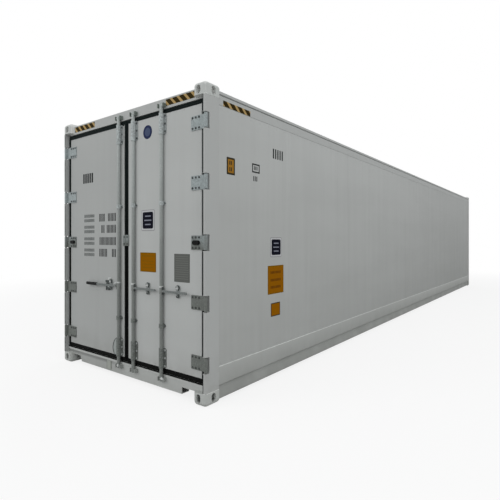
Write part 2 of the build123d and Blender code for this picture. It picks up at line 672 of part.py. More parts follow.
def handle_retainer(retainer_y):
    """Plate on the door with a shelf under the handle and a hook above it."""
    face_x = depth_x(LEAF_FACE_DEPTH)
    plate_front = face_x - RETAINER_PLATE
    retainer_z = (HANDLE_CENTRE - RETAINER_DROP, HANDLE_CENTRE + RETAINER_RISE)
    plate_y = centred(retainer_y, RETAINER_WIDTH)
    plate = block((plate_front, face_x), plate_y, retainer_z)
    plate = fillet(plate.edges().filter_by(Axis.X), RETAINER_ROUNDING)
    shelf_top = HANDLE_CENTRE - HANDLE_BAR_HEIGHT / 2 - RETAINER_SHELF_GAP
    shelf_z = (shelf_top - RETAINER_SHELF_THICKNESS, shelf_top)
    shelf_y = centred(retainer_y, RETAINER_WIDTH / 2)
    shelf = block((depth_x(HANDLE_FACE_DEPTH), face_x), shelf_y, shelf_z)
    hook_z = (retainer_z[1] - RETAINER_HOOK_THICKNESS, retainer_z[1])
    hook_y = centred(retainer_y, RETAINER_WIDTH / 2)
    hook = block((plate_front - RETAINER_HOOK_REACH, face_x), hook_y, hook_z)
    return plate + shelf + hook


def lap_plate(side):
    """Half of the plate that covers the joint between the doors."""
    face_x = depth_x(LEAF_FACE_DEPTH)
    plate_x = (face_x - LAP_PLATE_THICKNESS, face_x)
    plate_y = (side * LAP_PLATE_HALF_GAP, side * LAP_PLATE_HALF_WIDTH)
    return block(plate_x, plate_y, (LAP_PLATE_BOTTOM, LAP_PLATE_BOTTOM + LAP_PLATE_HEIGHT))


def cam_keepers(carrier_x, z_pair):
    """Pair of lugs beside the end of each rod."""
    inner = CAM_REACH + KEEPER_GAP
    outer = inner + KEEPER_THICKNESS
    lug_x = (depth_x(KEEPER_FACE_DEPTH), carrier_x)
    lugs = []
    for rod_y in [LEFT_ROD_Y] + RIGHT_RODS:
        for side in (RIGHT, LEFT):
            lug_y = (rod_y + side * inner, rod_y + side * outer)
            lugs.append(block(lug_x, lug_y, z_pair))
    return gathered(lugs)


# Frame of the box
first_casting = corner_casting()
top_casting = mirror(first_casting, Plane.XY.offset(HEIGHT / 2))
nodes = {
    "bottom_corner_castings": four_castings(first_casting),
    "top_corner_castings": four_castings(top_casting),
    "door_header": header(depth_x(HEADER_DEPTH), depth_x(CASTING_LENGTH)),
    "door_sill": door_sill(),
    "front_header": header(front_x(FRONT_SETBACK), front_x(CASTING_LENGTH)),
    "front_sill": front_sill(),
}
sides = {"right": RIGHT, "left": LEFT}
for name, side in sides.items():
    nodes[name + "_door_post"] = door_post(side)
    nodes[name + "_front_post"] = front_post(side)
    nodes[name + "_top_rail"] = top_rail(side)
    nodes[name + "_bottom_rail"] = bottom_rail(side)
    nodes[name + "_hinge_pins"] = hinge_pins(side)

# Insulated panels, linings and floor
for name, side in sides.items():
    nodes[name + "_side_wall"] = side_wall(side)
    nodes[name + "_wall_lining"] = side_lining(side)
nodes["front_wall"] = front_wall()
nodes["front_wall_lining"] = front_lining()
nodes["roof"] = roof()
nodes["ceiling_lining"] = ceiling_lining()
nodes["floor_slab"] = floor_slab()
nodes["t_bar_floor"] = t_bar_floor()
nodes["cross_members"] = cross_members()

# Doors and what is fixed to them
for name, side in sides.items():
    nodes[name + "_door_leaf"] = door_leaf(side)
    nodes[name + "_door_seal"] = door_seal(side)
    nodes[name + "_hinge_straps"] = hinge_straps(side)
    nodes[name + "_lap_plate"] = lap_plate(side)
nodes["right_rod_brackets"] = rod_brackets(RIGHT_RODS)
nodes["left_rod_brackets"] = rod_brackets([LEFT_ROD_Y])
right_retainer_reach = LEAF_WIDTH * RIGHT_RETAINER_SHARE
right_retainers = [handle_retainer(rod_y - right_retainer_reach) for rod_y in RIGHT_RODS]
nodes["right_handle_retainers"] = gathered(right_retainers)
left_retainer_reach = LEAF_WIDTH * LEFT_RETAINER_SHARE
nodes["left_handle_retainer"] = handle_retainer(LEFT_ROD_Y + left_retainer_reach)

# Lock rods, handles and keepers
nodes["right_inner_lock_rod"] = lock_rod(RIGHT, RIGHT_INNER_ROD_Y)
nodes["right_outer_lock_rod"] = lock_rod(RIGHT, RIGHT_OUTER_ROD_Y)
nodes["left_lock_rod"] = lock_rod(LEFT, LEFT_ROD_Y)
right_reach = LEAF_WIDTH * RIGHT_HANDLE_REACH_SHARE
nodes["right_inner_handle"] = handle_bar(RIGHT, RIGHT_INNER_ROD_Y, right_reach)
nodes["right_outer_handle"] = handle_bar(RIGHT, RIGHT_OUTER_ROD_Y, right_reach)
left_reach = LEAF_WIDTH * LEFT_HANDLE_REACH_SHARE
nodes["left_handle"] = handle_bar(LEFT, LEFT_ROD_Y, left_reach)
nodes["left_handle_grip"] = handle_grip(nodes["left_handle"])
header_keeper_z = centred(sum(cam_heights()[1]) / 2, KEEPER_HEIGHT)
nodes["header_cam_keepers"] = cam_keepers(depth_x(HEADER_DEPTH), header_keeper_z)
sill_keeper_top = SILL_TOP - SILL_LIP_HEIGHT
sill_keeper_z = (sill_keeper_top - KEEPER_HEIGHT, sill_keeper_top)
nodes["sill_cam_keepers"] = cam_keepers(depth_x(SILL_DEPTH), sill_keeper_z)

os.makedirs("parts", exist_ok=True)
for name, shape in nodes.items():
    export_step(shape, f"parts/{name}.step")
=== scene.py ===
import json
import math

import bpy
from mathutils import Matrix, Vector


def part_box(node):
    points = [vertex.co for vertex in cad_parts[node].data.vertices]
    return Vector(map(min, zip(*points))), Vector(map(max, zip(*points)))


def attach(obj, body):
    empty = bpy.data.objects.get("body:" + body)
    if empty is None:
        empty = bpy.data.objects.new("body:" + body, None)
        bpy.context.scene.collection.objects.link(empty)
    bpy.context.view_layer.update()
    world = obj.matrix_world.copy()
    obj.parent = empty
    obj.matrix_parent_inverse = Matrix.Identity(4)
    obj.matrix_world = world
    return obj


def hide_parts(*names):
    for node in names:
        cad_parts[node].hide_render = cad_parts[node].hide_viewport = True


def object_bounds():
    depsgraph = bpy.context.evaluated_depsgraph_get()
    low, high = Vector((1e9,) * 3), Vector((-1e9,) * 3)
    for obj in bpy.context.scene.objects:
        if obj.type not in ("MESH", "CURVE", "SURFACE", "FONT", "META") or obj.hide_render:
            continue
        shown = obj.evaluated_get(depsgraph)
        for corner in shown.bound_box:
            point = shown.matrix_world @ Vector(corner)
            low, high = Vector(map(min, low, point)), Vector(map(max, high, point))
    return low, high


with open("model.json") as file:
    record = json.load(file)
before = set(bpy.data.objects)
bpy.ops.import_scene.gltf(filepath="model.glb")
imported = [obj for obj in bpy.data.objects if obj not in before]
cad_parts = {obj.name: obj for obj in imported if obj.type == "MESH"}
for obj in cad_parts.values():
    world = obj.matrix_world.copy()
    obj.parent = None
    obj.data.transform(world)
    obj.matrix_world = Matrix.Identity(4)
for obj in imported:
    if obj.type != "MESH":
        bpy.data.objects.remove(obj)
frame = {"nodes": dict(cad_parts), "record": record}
cad_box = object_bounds()


# Corner castings
# Eight hollow steel castings that cranes and trailers lock into. They are sand cast, so
# their skin is grainy, and they are welded to the frame and sprayed with it in satin grey.
# The holes of the top ones are near white inside, a painted light that lifts their shade.
CASTING_GREY = (170, 173, 171)
CASTING_GRAIN = 0.00035
CASTING_GRAIN_SCALE = 120.0
# Painted light inside the holes of the top castings, lifting their shade
INNER_PAINTED_LIGHT = (232, 233, 231)
INNER_DEPTHS = (0.006, 0.016)
ROAD_DUST = (132, 129, 120)
PRIMER_GREY = (126, 124, 118)
# Colours are written as they look in the studio's soft light, and the coat itself is lighter by this
PAINT_LIFT = 1.5
SKIN_OUTPUTS = {"Colour": "Color", "Roughness": "Float", "Height": "Float"}


def linear(red, green, blue):
    """Scene colour of an 8-bit screen colour."""
    shares = [channel / 255 for channel in (red, green, blue)]
    return tuple(((s + 0.055) / 1.055) ** 2.4 if s > 0.04 else s / 12.92 for s in shares) + (1,)


def add(tree, kind, inputs=None, **options):
    """Adds a shader node, sets its options, and sets or links its inputs."""
    node = tree.nodes.new(kind)
    for option, value in options.items():
        setattr(node, option, value)
    for socket, value in (inputs or {}).items():
        if isinstance(value, bpy.types.NodeSocket):
            tree.links.new(value, node.inputs[socket])
        else:
            node.inputs[socket].default_value = value
    return node


def feed(socket, value):
    """Links a value into a socket."""
    socket.id_data.links.new(value, socket)


def calc(operation, *values, clamp=False):
    """One sum on masks and values, in the tree of the first socket among them."""
    tree = next(value.id_data for value in values if isinstance(value, bpy.types.NodeSocket))
    node = add(tree, "ShaderNodeMath", dict(enumerate(values)), operation=operation, use_clamp=clamp)
    return node.outputs[0]


def times(first, second):
    """Product of two values."""
    return calc("MULTIPLY", first, second)


def plus(first, second):
    """Sum of two values."""
    return calc("ADD", first, second)


def minus(first, second):
    """Difference of two values."""
    return calc("SUBTRACT", first, second)


def fade(value, start, end, low=0.0, high=1.0):
    """Smooth step from low to high as a value goes from start to end."""
    span = {"Value": value, "From Min": start, "From Max": end, "To Min": low, "To Max": high}
    return add(value.id_data, "ShaderNodeMapRange", span, interpolation_type="SMOOTHSTEP").outputs[0]


def own_place(tree):
    """Places on a piece, in the container's frame."""
    return add(tree, "ShaderNodeTexCoord").outputs["Object"]


def xyz(vector):
    """Parts of a vector along the three axes."""
    return add(vector.id_data, "ShaderNodeSeparateXYZ", {0: vector}).outputs


def cloud(tree, scale, detail=3.0, stretch=(1, 1, 1)):
    """Soft noise that sticks to the piece, stretched along its axes."""
    place = add(tree, "ShaderNodeMapping", {"Vector": own_place(tree), "Scale": stretch}).outputs[0]
    noise = {"Vector": place, "Scale": scale, "Detail": detail}
    return add(tree, "ShaderNodeTexNoise", noise).outputs["Fac"]


def tint(mask, under, over):
    """Colour that goes from one to the other with a mask."""
    return add(mask.id_data, "ShaderNodeMix", {0: mask, 6: under, 7: over}, data_type="RGBA").outputs[2]


def shaded(colour, share):
    """Colour made lighter or darker by a share."""
    start = colour if isinstance(colour, bpy.types.NodeSocket) else colour[:3]
    values = {0: start, "Scale": share}
    return add(share.id_data, "ShaderNodeVectorMath", values, operation="SCALE").outputs[0]


def effect(name, inputs, outputs):
    """Shader node group with named inputs and outputs, still empty."""
    group = bpy.data.node_groups.new(name, "ShaderNodeTree")
    for label, value in inputs.items():
        kind = "NodeSocketFloat"
        if not isinstance(value, float):
            kind = "NodeSocketColor" if len(value) == 4 else "NodeSocketVector"
        socket = group.interface.new_socket(label, in_out="INPUT", socket_type=kind)
        socket.default_value = value
    for label, kind in outputs.items():
        group.interface.new_socket(label, in_out="OUTPUT", socket_type="NodeSocket" + kind)
    return group, group.nodes.new("NodeGroupInput").outputs, group.nodes.new("NodeGroupOutput").inputs


def placed(tree, group, inputs):
    """Places an effect in a finish with its own values."""
    return add(tree, "ShaderNodeGroup", inputs, node_tree=group).outputs


def sprayed_coat():
    """Sprayed paint: cloudy tone, faint runs of rain, orange peel and slow waves in the sheet."""
    inputs = {"Colour": (0.4, 0.4, 0.4, 1), "Clouds": 0.03, "Runs": 0.04, "Gloss": 0.4}
    inputs.update({"Grain": 0.0001, "Grain Scale": 300.0, "Waves": 0.0})
    group, given, result = effect("sprayed_coat", inputs, SKIN_OUTPUTS)
    broad = times(minus(cloud(group, 0.9), 0.5), given["Clouds"])
    runs = times(fade(cloud(group, 1.0, 4.0, (9, 9, 0.4)), 0.5, 0.74), given["Runs"])
    share = minus(calc("MULTIPLY_ADD", broad, 2.0, PAINT_LIFT), runs)
    feed(result["Colour"], shaded(given["Colour"], share))
    patches = times(cloud(group, 6.0, 4.0), 0.14)
    feed(result["Roughness"], minus(plus(given["Gloss"], patches), 0.07))
    peel = {"Vector": own_place(group), "Scale": given["Grain Scale"], "Detail": 2.0}
    peel = times(add(group, "ShaderNodeTexNoise", peel).outputs["Fac"], given["Grain"])
    waves = times(cloud(group, 1.1, 1.0, (1.5, 1.5, 0.4)), given["Waves"])
    feed(result["Height"], plus(peel, waves))
    return group


def road_dust():
    """Dust that settles on ledges and is thrown up along the foot of the box."""
    inputs = {"Colour": (0.4, 0.4, 0.4, 1), "Roughness": 0.4, "Dust": linear(*ROAD_DUST)}
    inputs.update({"Amount": 0.3, "Reach": 0.5, "Patches": 1.0})
    group, given, result = effect("road_dust", inputs, {"Colour": "Color", "Roughness": "Float"})
    height = xyz(own_place(group))["Z"]
    low = calc("SUBTRACT", 1.0, calc("DIVIDE", height, given["Reach"]), clamp=True)
    bare = times(fade(cloud(group, 4.0, 5.0), 0.7, 0.25), given["Patches"])
    low = times(low, minus(1.0, bare))
    upward = xyz(add(group, "ShaderNodeNewGeometry").outputs["Normal"])["Z"]
    bare = times(fade(cloud(group, 2.2, 5.0), 0.75, 0.3), given["Patches"])
    ledge = times(fade(upward, 0.6, 0.98), minus(1.0, bare))
    mask = calc("MULTIPLY", calc("MAXIMUM", low, ledge), given["Amount"], clamp=True)
    feed(result["Colour"], tint(mask, given["Colour"], given["Dust"]))
    feed(result["Roughness"], calc("ADD", given["Roughness"], times(mask, 0.4), clamp=True))
    return group


def scuffed_edge():
    """Mask of the sharp edges of a piece, broken up as knocks and rubbing break them."""
    group, given, result = effect("scuffed_edge", {"Radius": 0.004, "Amount": 0.5}, {"Mask": "Float"})
    rounded = add(group, "ShaderNodeBevel", {"Radius": given["Radius"]}, samples=4).outputs[0]
    plain = add(group, "ShaderNodeNewGeometry").outputs["Normal"]
    turn = add(group, "ShaderNodeVectorMath", {0: rounded, 1: plain}, operation="DOT_PRODUCT")
    edge = fade(turn.outputs["Value"], 0.99, 0.8)
    edge = times(edge, fade(cloud(group, 28.0, 4.0), 0.45, 0.62))
    feed(result["Mask"], calc("MULTIPLY", edge, given["Amount"], clamp=True))
    return group


SPRAYED_COAT = sprayed_coat()
ROAD_DUST_FILM = road_dust()
SCUFFED_EDGE = scuffed_edge()


def finish(name):
    """New material with its shader."""
    material = bpy.data.materials.new(name)
    material.use_nodes = True
    return material, material.node_tree.nodes["Principled BSDF"]


def wire(shader, colour, roughness, height, distance=1.0, strength=1.0):
    """Feeds a finish into its shader, with its height as bump."""
    bump = {"Height": height, "Distance": distance, "Strength": strength}
    bump = add(shader.id_data, "ShaderNodeBump", bump)
    feed(shader.inputs["Base Color"], colour)
    feed(shader.inputs["Roughness"], roughness)
    feed(shader.inputs["Normal"], bump.outputs["Normal"])


def paint(name, colour, gloss=0.58, grain=0.00008, grain_scale=320.0, waves=0.0, runs=0.04, dust=0.35,
          film=ROAD_DUST, reach=0.5, patches=1.0):
    """Satin paint on steel with its clouds, runs, dust and knocked edges."""
    material, shader = finish(name)
    tree = material.node_tree
    values = {"Colour": linear(*colour), "Clouds": 0.035, "Runs": runs, "Gloss": gloss}
    values.update({"Grain": grain, "Grain Scale": grain_scale, "Waves": waves})
    coat = placed(tree, SPRAYED_COAT, values)
    edge = placed(tree, SCUFFED_EDGE, {"Radius": 0.004, "Amount": 0.45})
    worn = tint(edge["Mask"], coat["Colour"], linear(*PRIMER_GREY))
    values = {"Colour": worn, "Roughness": coat["Roughness"], "Amount": dust, "Dust": linear(*film)}
    values.update({"Reach": reach, "Patches": patches})
    dusted = placed(tree, ROAD_DUST_FILM, values)
    shader.inputs["Specular IOR Level"].default_value = 0.2
    wire(shader, dusted["Colour"], dusted["Roughness"], coat["Height"])
    return material


def dress(material, *names):
    """Gives the named solids their finish."""
    for name in names:
        solid = frame["nodes"][name]
        if not solid.material_slots:
            solid.data.materials.append(material)
        for slot in solid.material_slots:
            slot.material = material


def base_colour(material):
    """Colour socket of a finish, and what feeds it so far."""
    socket = material.node_tree.nodes["Principled BSDF"].inputs["Base Color"]
    return socket, socket.links[0].from_socket


def overlaid(material, mask, colour):
    """Lays another colour over a finish where a mask says so."""
    socket, so_far = base_colour(material)
    feed(socket, tint(mask, so_far, linear(*colour)))


def casting_finish(name):
    """Paint of the castings, on their sandy skin."""
    return paint(name, CASTING_GREY, gloss=0.62, grain=CASTING_GRAIN, grain_scale=CASTING_GRAIN_SCALE)


dress(casting_finish("casting_paint"), "bottom_corner_castings")
# The top castings carry a painted light inside their holes
top_casting_paint_and_light = casting_finish("top_casting_paint_and_light")
tree = top_casting_paint_and_light.node_tree
outward = add(tree, "ShaderNodeVectorMath", {0: own_place(tree)}, operation="ABSOLUTE").outputs[0]
depths = [(xyz(outward)[axis], reach) for axis, reach in zip("XYZ", cad_box[1])]
inside = [fade(place, reach - INNER_DEPTHS[0], reach - INNER_DEPTHS[1]) for place, reach in depths]
overlaid(top_casting_paint_and_light, times(times(inside[0], inside[1]), inside[2]), INNER_PAINTED_LIGHT)
dress(top_casting_paint_and_light, "top_corner_castings")


# Posts, header, sill and rails
# The steel frame of the box: folded and welded sections between the castings, with the
# rails running the whole length. Sprayed light grey in place; the edges are folded, not sharp.
FRAME_GREY = (158, 160, 159)
LOW_GREY = (158, 160, 158)
LOW_FILM = (104, 105, 100)
LOW_FILM_REACH = 0.36
SILL_GREY = (164, 166, 164)
SILL_LIP_FOOT = 0.150
SILL_LIP_SHADE = 0.004
# Painted shade under the sill's lip, on the left half of the sill
UNDER_LIP_LEVELS = (0.104, 0.134)
SHADED_HALF = (0.10, 0.34)
UNDER_LIP_SHADES = (0.33, 0.16)


def darkened(material, share):
    """Multiplies the colour of a finish by a share that changes over its surface."""
    socket, so_far = base_colour(material)
    feed(socket, shaded(so_far, share))


def place_axes(material):
    """Places along the container's three axes, for a mask in a finish."""
    return xyz(own_place(material.node_tree))


frame_paint = paint("frame_paint", FRAME_GREY, waves=0.0006)
low_paint = paint("low_rail_paint", LOW_GREY, waves=0.0006, dust=0.55, film=LOW_FILM, reach=LOW_FILM_REACH,
                  patches=0.35)
sill_paint_and_shade = paint("sill_paint_and_shade", SILL_GREY, waves=0.0006, dust=0.25, film=LOW_FILM, reach=0.16)
# Painted shade: the sill is darker just under its lip and less so below it, on its left half
axes = place_axes(sill_paint_and_shade)
below_lip = fade(axes["Z"], SILL_LIP_FOOT, SILL_LIP_FOOT - SILL_LIP_SHADE)
under_lip = times(below_lip, fade(axes["Z"], *UNDER_LIP_LEVELS))
under_lip_shade = plus(times(under_lip, UNDER_LIP_SHADES[0]), times(below_lip, UNDER_LIP_SHADES[1]))
under_lip_shade = times(under_lip_shade, fade(axes["Y"], *SHADED_HALF))
darkened(sill_paint_and_shade, minus(1.0, under_lip_shade))
dress(frame_paint, "right_door_post", "left_door_post", "right_front_post", "left_front_post")
dress(frame_paint, "right_top_rail", "left_top_rail", "door_header", "front_header")
dress(low_paint, "right_bottom_rail", "left_bottom_rail", "front_sill")
dress(sill_paint_and_shade, "door_sill")


# Welds of the frame
# Hand-laid beads where the posts, rails, header and sill meet the castings. Each is a row
# of small overlapping scales, painted over with the rest of the frame and written lighter
# than it, a painted highlight along the bead.
WELD_HIGHLIGHT_GREY = (198, 200, 198)
WELD_RADIUS = 0.0045
WELD_SCALE = 0.014
WELD_STEP = 0.0035
TUBE_SIDES = 8
SHARP_ANGLE = math.radians(40)
CASTING_LENGTH = 0.178
CASTING_WIDTH = 0.162
SILL_SETBACK = 0.004
POST_SKIN = (0.008, 0.006)
POST_TURN = 0.018
POST_INNER_EDGE = 0.040
POST_TURN_STEPS = 6
RAIL_SKIN = 0.006
RAIL_BAND_TOP = 2.806
APRON_TOP = 0.1


def make(name, pieces, material, body, slot):
    """Joins pieces into one mesh, dresses it and fixes it to a body of the container."""
    points, faces = [], []
    for piece_points, piece_faces in pieces:
        start = len(points)
        points += piece_points
        faces += [[start + index for index in face] for face in piece_faces]
    mesh = bpy.data.meshes.new(name)
    mesh.from_pydata(points, [], faces)
    mesh.materials.append(material)
    mesh.shade_smooth()
    mesh.set_sharp_from_angle(angle=SHARP_ANGLE)
    piece = bpy.data.objects.new(name, mesh)
    bpy.context.scene.collection.objects.link(piece)
    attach(piece, body)
    return piece


def skinned(rings, loop=False):
    """Skin over rings of points: a solid with two flat ends, or a loop back to the first ring."""
    count = len(rings[0])
    points = [point for ring in rings for point in ring]
    faces = []
    for index in range(len(rings) if loop else len(rings) - 1):
        low, high = index * count, (index + 1) % len(rings) * count
        for side in range(count):
            beside = (side + 1) % count
            faces.append((low + side, low + beside, high + beside, high + side))
    if not loop:
        faces += [tuple(reversed(range(count))), tuple(range(len(points) - count, len(points)))]
    return points, faces


def circle(sides):
    """Cosine and sine of even turns round a circle."""
    turns = [math.tau * side / sides for side in range(sides)]
    return [(math.cos(turn), math.sin(turn)) for turn in turns]


def tube(path, radii, sides=TUBE_SIDES):
    """Closed round tube through points, with a radius at each."""
    path = [Vector(point) for point in path]
    rings = []
    for index, (middle, radius) in enumerate(zip(path, radii)):
        ahead = path[min(index + 1, len(path) - 1)] - path[max(index - 1, 0)]
        across = ahead.orthogonal() if index == 0 else across - across.project(ahead)
        across.normalize()
        other = ahead.normalized().cross(across)
        rings.append([middle + radius * (cos * across + sin * other) for cos, sin in circle(sides)])
    return skinned(rings)


def weld(corners):
    """Scaly bead along a line of corners."""
    path = []
    for start, end in zip(corners, corners[1:]):
        start, end = Vector(start), Vector(end)
        steps = max(2, round((end - start).length / WELD_STEP))
        path += [start.lerp(end, step / steps) for step in range(steps)]
    path.append(Vector(corners[-1]))
    beat = math.tau * WELD_STEP / WELD_SCALE
    radii = [WELD_RADIUS * (1 + 0.14 * math.sin(beat * step)) for step in range(len(path))]
    radii[0] = radii[-1] = WELD_RADIUS * 0.4
    return tube(path, radii)


half_length, half_width, casting_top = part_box("bottom_corner_castings")[1]
top_casting_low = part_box("top_corner_castings")[0].z
header_low, header_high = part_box("door_header")
sill_low, sill_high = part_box("door_sill")
sill_face = sill_low.x + SILL_SETBACK


def post_line(end, side, level):
    """Line round the front and outer faces of a corner post, with its corner turned."""
    face_x, side_y = end * (half_length - POST_SKIN[0]), side * (half_width - POST_SKIN[1])
    line = [(face_x, side * (half_width - POST_INNER_EDGE), level)]
    for step in range(POST_TURN_STEPS + 1):
        turn = math.pi / 2 * step / POST_TURN_STEPS
        along = end * POST_TURN * (1 - math.cos(turn))
        across = side * POST_TURN * (1 - math.sin(turn))
        line.append((face_x - along, side_y - across, level))
    return line + [(end * (half_length - CASTING_LENGTH), side_y, level)]


def upright_weld(x, y, low, high):
    """Bead straight up a corner."""
    return weld([(x, y, low), (x, y, high)])


welds = []
for end in (-1, 1):
    beam_x = header_low.x if end < 0 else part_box("front_header")[1].x
    foot_x = sill_face if end < 0 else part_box("front_sill")[1].x
    foot_z = APRON_TOP if end < 0 else sill_low.z
    rail_x = end * (half_length - CASTING_LENGTH)
    for side in (-1, 1):
        welds += [weld(post_line(end, side, level)) for level in (casting_top, top_casting_low)]
        beam_y = side * (half_width - CASTING_WIDTH)
        rail_y = side * (half_width - RAIL_SKIN)
        welds.append(upright_weld(beam_x, beam_y, top_casting_low, header_high.z))
        welds.append(upright_weld(foot_x, beam_y, foot_z, casting_top))
        welds.append(upright_weld(rail_x, rail_y, top_casting_low, RAIL_BAND_TOP))
# The welds are written lighter than the frame, a painted highlight along the beads
weld_highlight_paint = paint("weld_highlight_paint", WELD_HIGHLIGHT_GREY, gloss=0.5)
make("frame_welds", welds, weld_highlight_paint, "container", "frame_paint")


# Side walls
# Flat foam-cored panels with a thin sprayed sheet outside, let into the rails. The sheets
# are lapped at narrow upright seams and fixed along the rails by rows of blind rivets.
WALL_GREY = (164, 166, 165)
# Dust on the ledges, and painted shade that darkens the walls from the roof down to the foot
WALL_DUST_AND_SHADE = (126, 127, 122)
WALL_DUST_AND_SHADE_REACH = 2.9
# A fade is where it starts and ends, and the values that it goes from and to
# Painted shade that darkens the walls towards the far end
WALL_FAR_SHADE = (-3.5, 4.5, 1.0, 0.885)
WALL_BANDS = 0.022
WALL_STREAKS = 0.014
SEAM_PITCH = 1.2
SEAM_WIDTH = 0.03
SEAM_RISE = 0.0004
SEAM_RIM = 0.0003
SEAM_END = 0.001
WALL_RIVET_PITCH = 0.15
WALL_RIVET_EDGE = 0.03
RIVET_RADIUS = 0.006
RIVET_RISE = 0.0022
SIDES = (("right", -1), ("left", 1))


def uneven(tree, bands, streaks):
    """Share that wavers a little in level bands and upright streaks, as a big sprayed sheet does."""
    level = fade(cloud(tree, 1.0, 4.0, (0.35, 0.35, 2.4)), 0.3, 0.7, 1 - bands, 1 + bands)
    upright = fade(cloud(tree, 1.0, 3.0, (11, 11, 0.3)), 0.3, 0.7, 1 - streaks, 1 + streaks)
    return times(level, upright)


def facing(outward, origin, up=(0, 0, 1)):
    """Frame of a flat face: first axis to a viewer's right, second up, third out of it."""
    out, upward = Vector(outward), Vector(up)
    axes = Matrix((upward.cross(out), upward, out)).transposed().to_4x4()
    return Matrix.Translation(Vector(origin)) @ axes


def turned(face, across, up, profile, sides):
    """Round or many-sided head on a face, from (radius, height) pairs, closed at both ends."""
    rings = []
    for radius, height in profile:
        spots = [(across + radius * cos, up + radius * sin, height) for cos, sin in circle(sides)]
        rings.append([face @ Vector(spot) for spot in spots])
    return skinned(rings)


def rounded_outline(across_pair, up_pair, corner, steps=4):
    """Corners of a rectangle as arcs, anticlockwise."""
    (left, right), (low, high) = across_pair, up_pair
    centres = [(right - corner, low + corner, 270), (right - corner, high - corner, 0)]
    centres += [(left + corner, high - corner, 90), (left + corner, low + corner, 180)]
    outline = []
    for middle_across, middle_up, start in centres:
        for step in range(steps + 1):
            turn = math.radians(start + 90 * step / steps)
            outline.append((middle_across + corner * math.cos(turn), middle_up + corner * math.sin(turn)))
    return outline


def ring_on(face, across_pair, up_pair, inset, corner, height):
    """Rounded rectangle on a face, drawn in from given spans."""
    spans = [(low + inset, high - inset) for low, high in (across_pair, up_pair)]
    return [face @ Vector((across, up, height)) for across, up in rounded_outline(*spans, corner)]


def plate(face, across_pair, up_pair, rise, corner=0.004, rim=0.0004, base=0.0):
    """Flat plate on a face with rounded corners and a softened rim."""
    rings = []
    for inset, height in ((0, base), (0, base + rise - rim), (rim, base + rise)):
        rings.append(ring_on(face, across_pair, up_pair, inset, max(corner - inset, 0.0001), height))
    return skinned(rings)


def rivet(face, across, up, radius=RIVET_RADIUS, rise=RIVET_RISE):
    """Domed head of a blind rivet."""
    profile = [(radius, 0), (radius * 0.92, rise * 0.5), (radius * 0.62, rise * 0.88), (radius * 0.2, rise)]
    return turned(face, across, up, profile, 10)


def spaced(low, high, pitch):
    """Even places between two ends, close to a pitch."""
    gaps = max(1, round((high - low) / pitch))
    return [low + (high - low) * index / gaps for index in range(gaps + 1)]


def sheet_seams(face, across_pair, up_pair, pitch, half=SEAM_WIDTH / 2, rise=SEAM_RISE, rim=SEAM_RIM):
    """Laps of a sheet, as flat bands across it."""
    span = (up_pair[0] + SEAM_END, up_pair[1] - SEAM_END)
    middles = spaced(*across_pair, pitch)[1:-1]
    return [plate(face, (middle - half, middle + half), span, rise, 0.001, rim) for middle in middles]


def rivet_rows(face, across_pair, up_pair, edge, pitch, uprights=False):
    """Rivets along the lower and upper edge of a sheet, and up its two sides if asked."""
    (left, right), (low, high) = [(start + edge, stop - edge) for start, stop in (across_pair, up_pair)]
    rivets = []
    for across in spaced(left, right, pitch):
        rivets += [rivet(face, across, low), rivet(face, across, high)]
    for up in spaced(low, high, pitch)[1:-1] if uprights else ():
        rivets += [rivet(face, left, up), rivet(face, right, up)]
    return rivets


def outer_y(node, side):
    """Outer face of a node on one side of the box."""
    low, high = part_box(node)
    return low.y if side < 0 else high.y


# Painted shade darkens the walls towards the foot, under the dust on their ledges
wall_paint = paint("wall_paint", WALL_GREY, waves=0.0020, runs=0.06, dust=0.31, film=WALL_DUST_AND_SHADE,
                   reach=WALL_DUST_AND_SHADE_REACH, patches=0.12)
# Painted shade darkens the walls towards the far end
share = fade(place_axes(wall_paint)["X"], *WALL_FAR_SHADE)
darkened(wall_paint, times(share, uneven(wall_paint.node_tree, WALL_BANDS, WALL_STREAKS)))
dress(wall_paint, "right_side_wall", "left_side_wall", "front_wall")
for side_name, side in SIDES:
    low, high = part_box(side_name + "_side_wall")
    wall = facing((0, side, 0), (0, outer_y(side_name + "_side_wall", side), 0))
    spans = (low.x, high.x), (low.z, high.z)
    seams = sheet_seams(wall, *spans, SEAM_PITCH)
    rivets = rivet_rows(wall, *spans, WALL_RIVET_EDGE, WALL_RIVET_PITCH)
    make(side_name + "_wall_seams", seams, wall_paint, "container", "wall_paint")
    make(side_name + "_wall_rivets", rivets, wall_paint, "container", "wall_paint")


# Sealant along the rails
# Beads of sealant laid by gun: pale ones where the wall sheets meet the bottom rails, written
# light as a painted highlight along that edge, and thin dark ones under the top rails, written
# dark as a painted shadow line under the band. They keep water out of the foam.
PALE_HIGHLIGHT_SEALANT = (184, 187, 185)
DARK_SHADE_SEALANT = (142, 145, 143)
LOW_BEAD_RADIUS = 0.006
TOP_BEAD_RADIUS = 0.003
BEAD_STEP = 0.04


def moulded(name, colour, roughness, grain=0.0002, grain_scale=90.0, dust=0.2, shine=0.25):
    """Matt rubber, plastic or sealant with a fine grain and a little dust."""
    material, shader = finish(name)
    values = {"Colour": linear(*colour), "Clouds": 0.08, "Runs": 0.0, "Gloss": roughness}
    values.update({"Grain": grain, "Grain Scale": grain_scale})
    skin = placed(material.node_tree, SPRAYED_COAT, values)
    values = {"Colour": skin["Colour"], "Roughness": skin["Roughness"], "Amount": dust}
    dusted = placed(material.node_tree, ROAD_DUST_FILM, values)
    shader.inputs["Specular IOR Level"].default_value = shine
    wire(shader, dusted["Colour"], dusted["Roughness"], skin["Height"])
    return material


def bead(wall_y, level, ends, radius):
    """Bead along a wall that swells and thins as the gun moved."""
    line = [(place, wall_y, level) for place in spaced(*ends, BEAD_STEP)]
    swell = [0.8 + 0.2 * math.sin(2.1 * step) * math.sin(0.37 * step) for step in range(len(line))]
    return tube(line, [radius * share for share in swell])


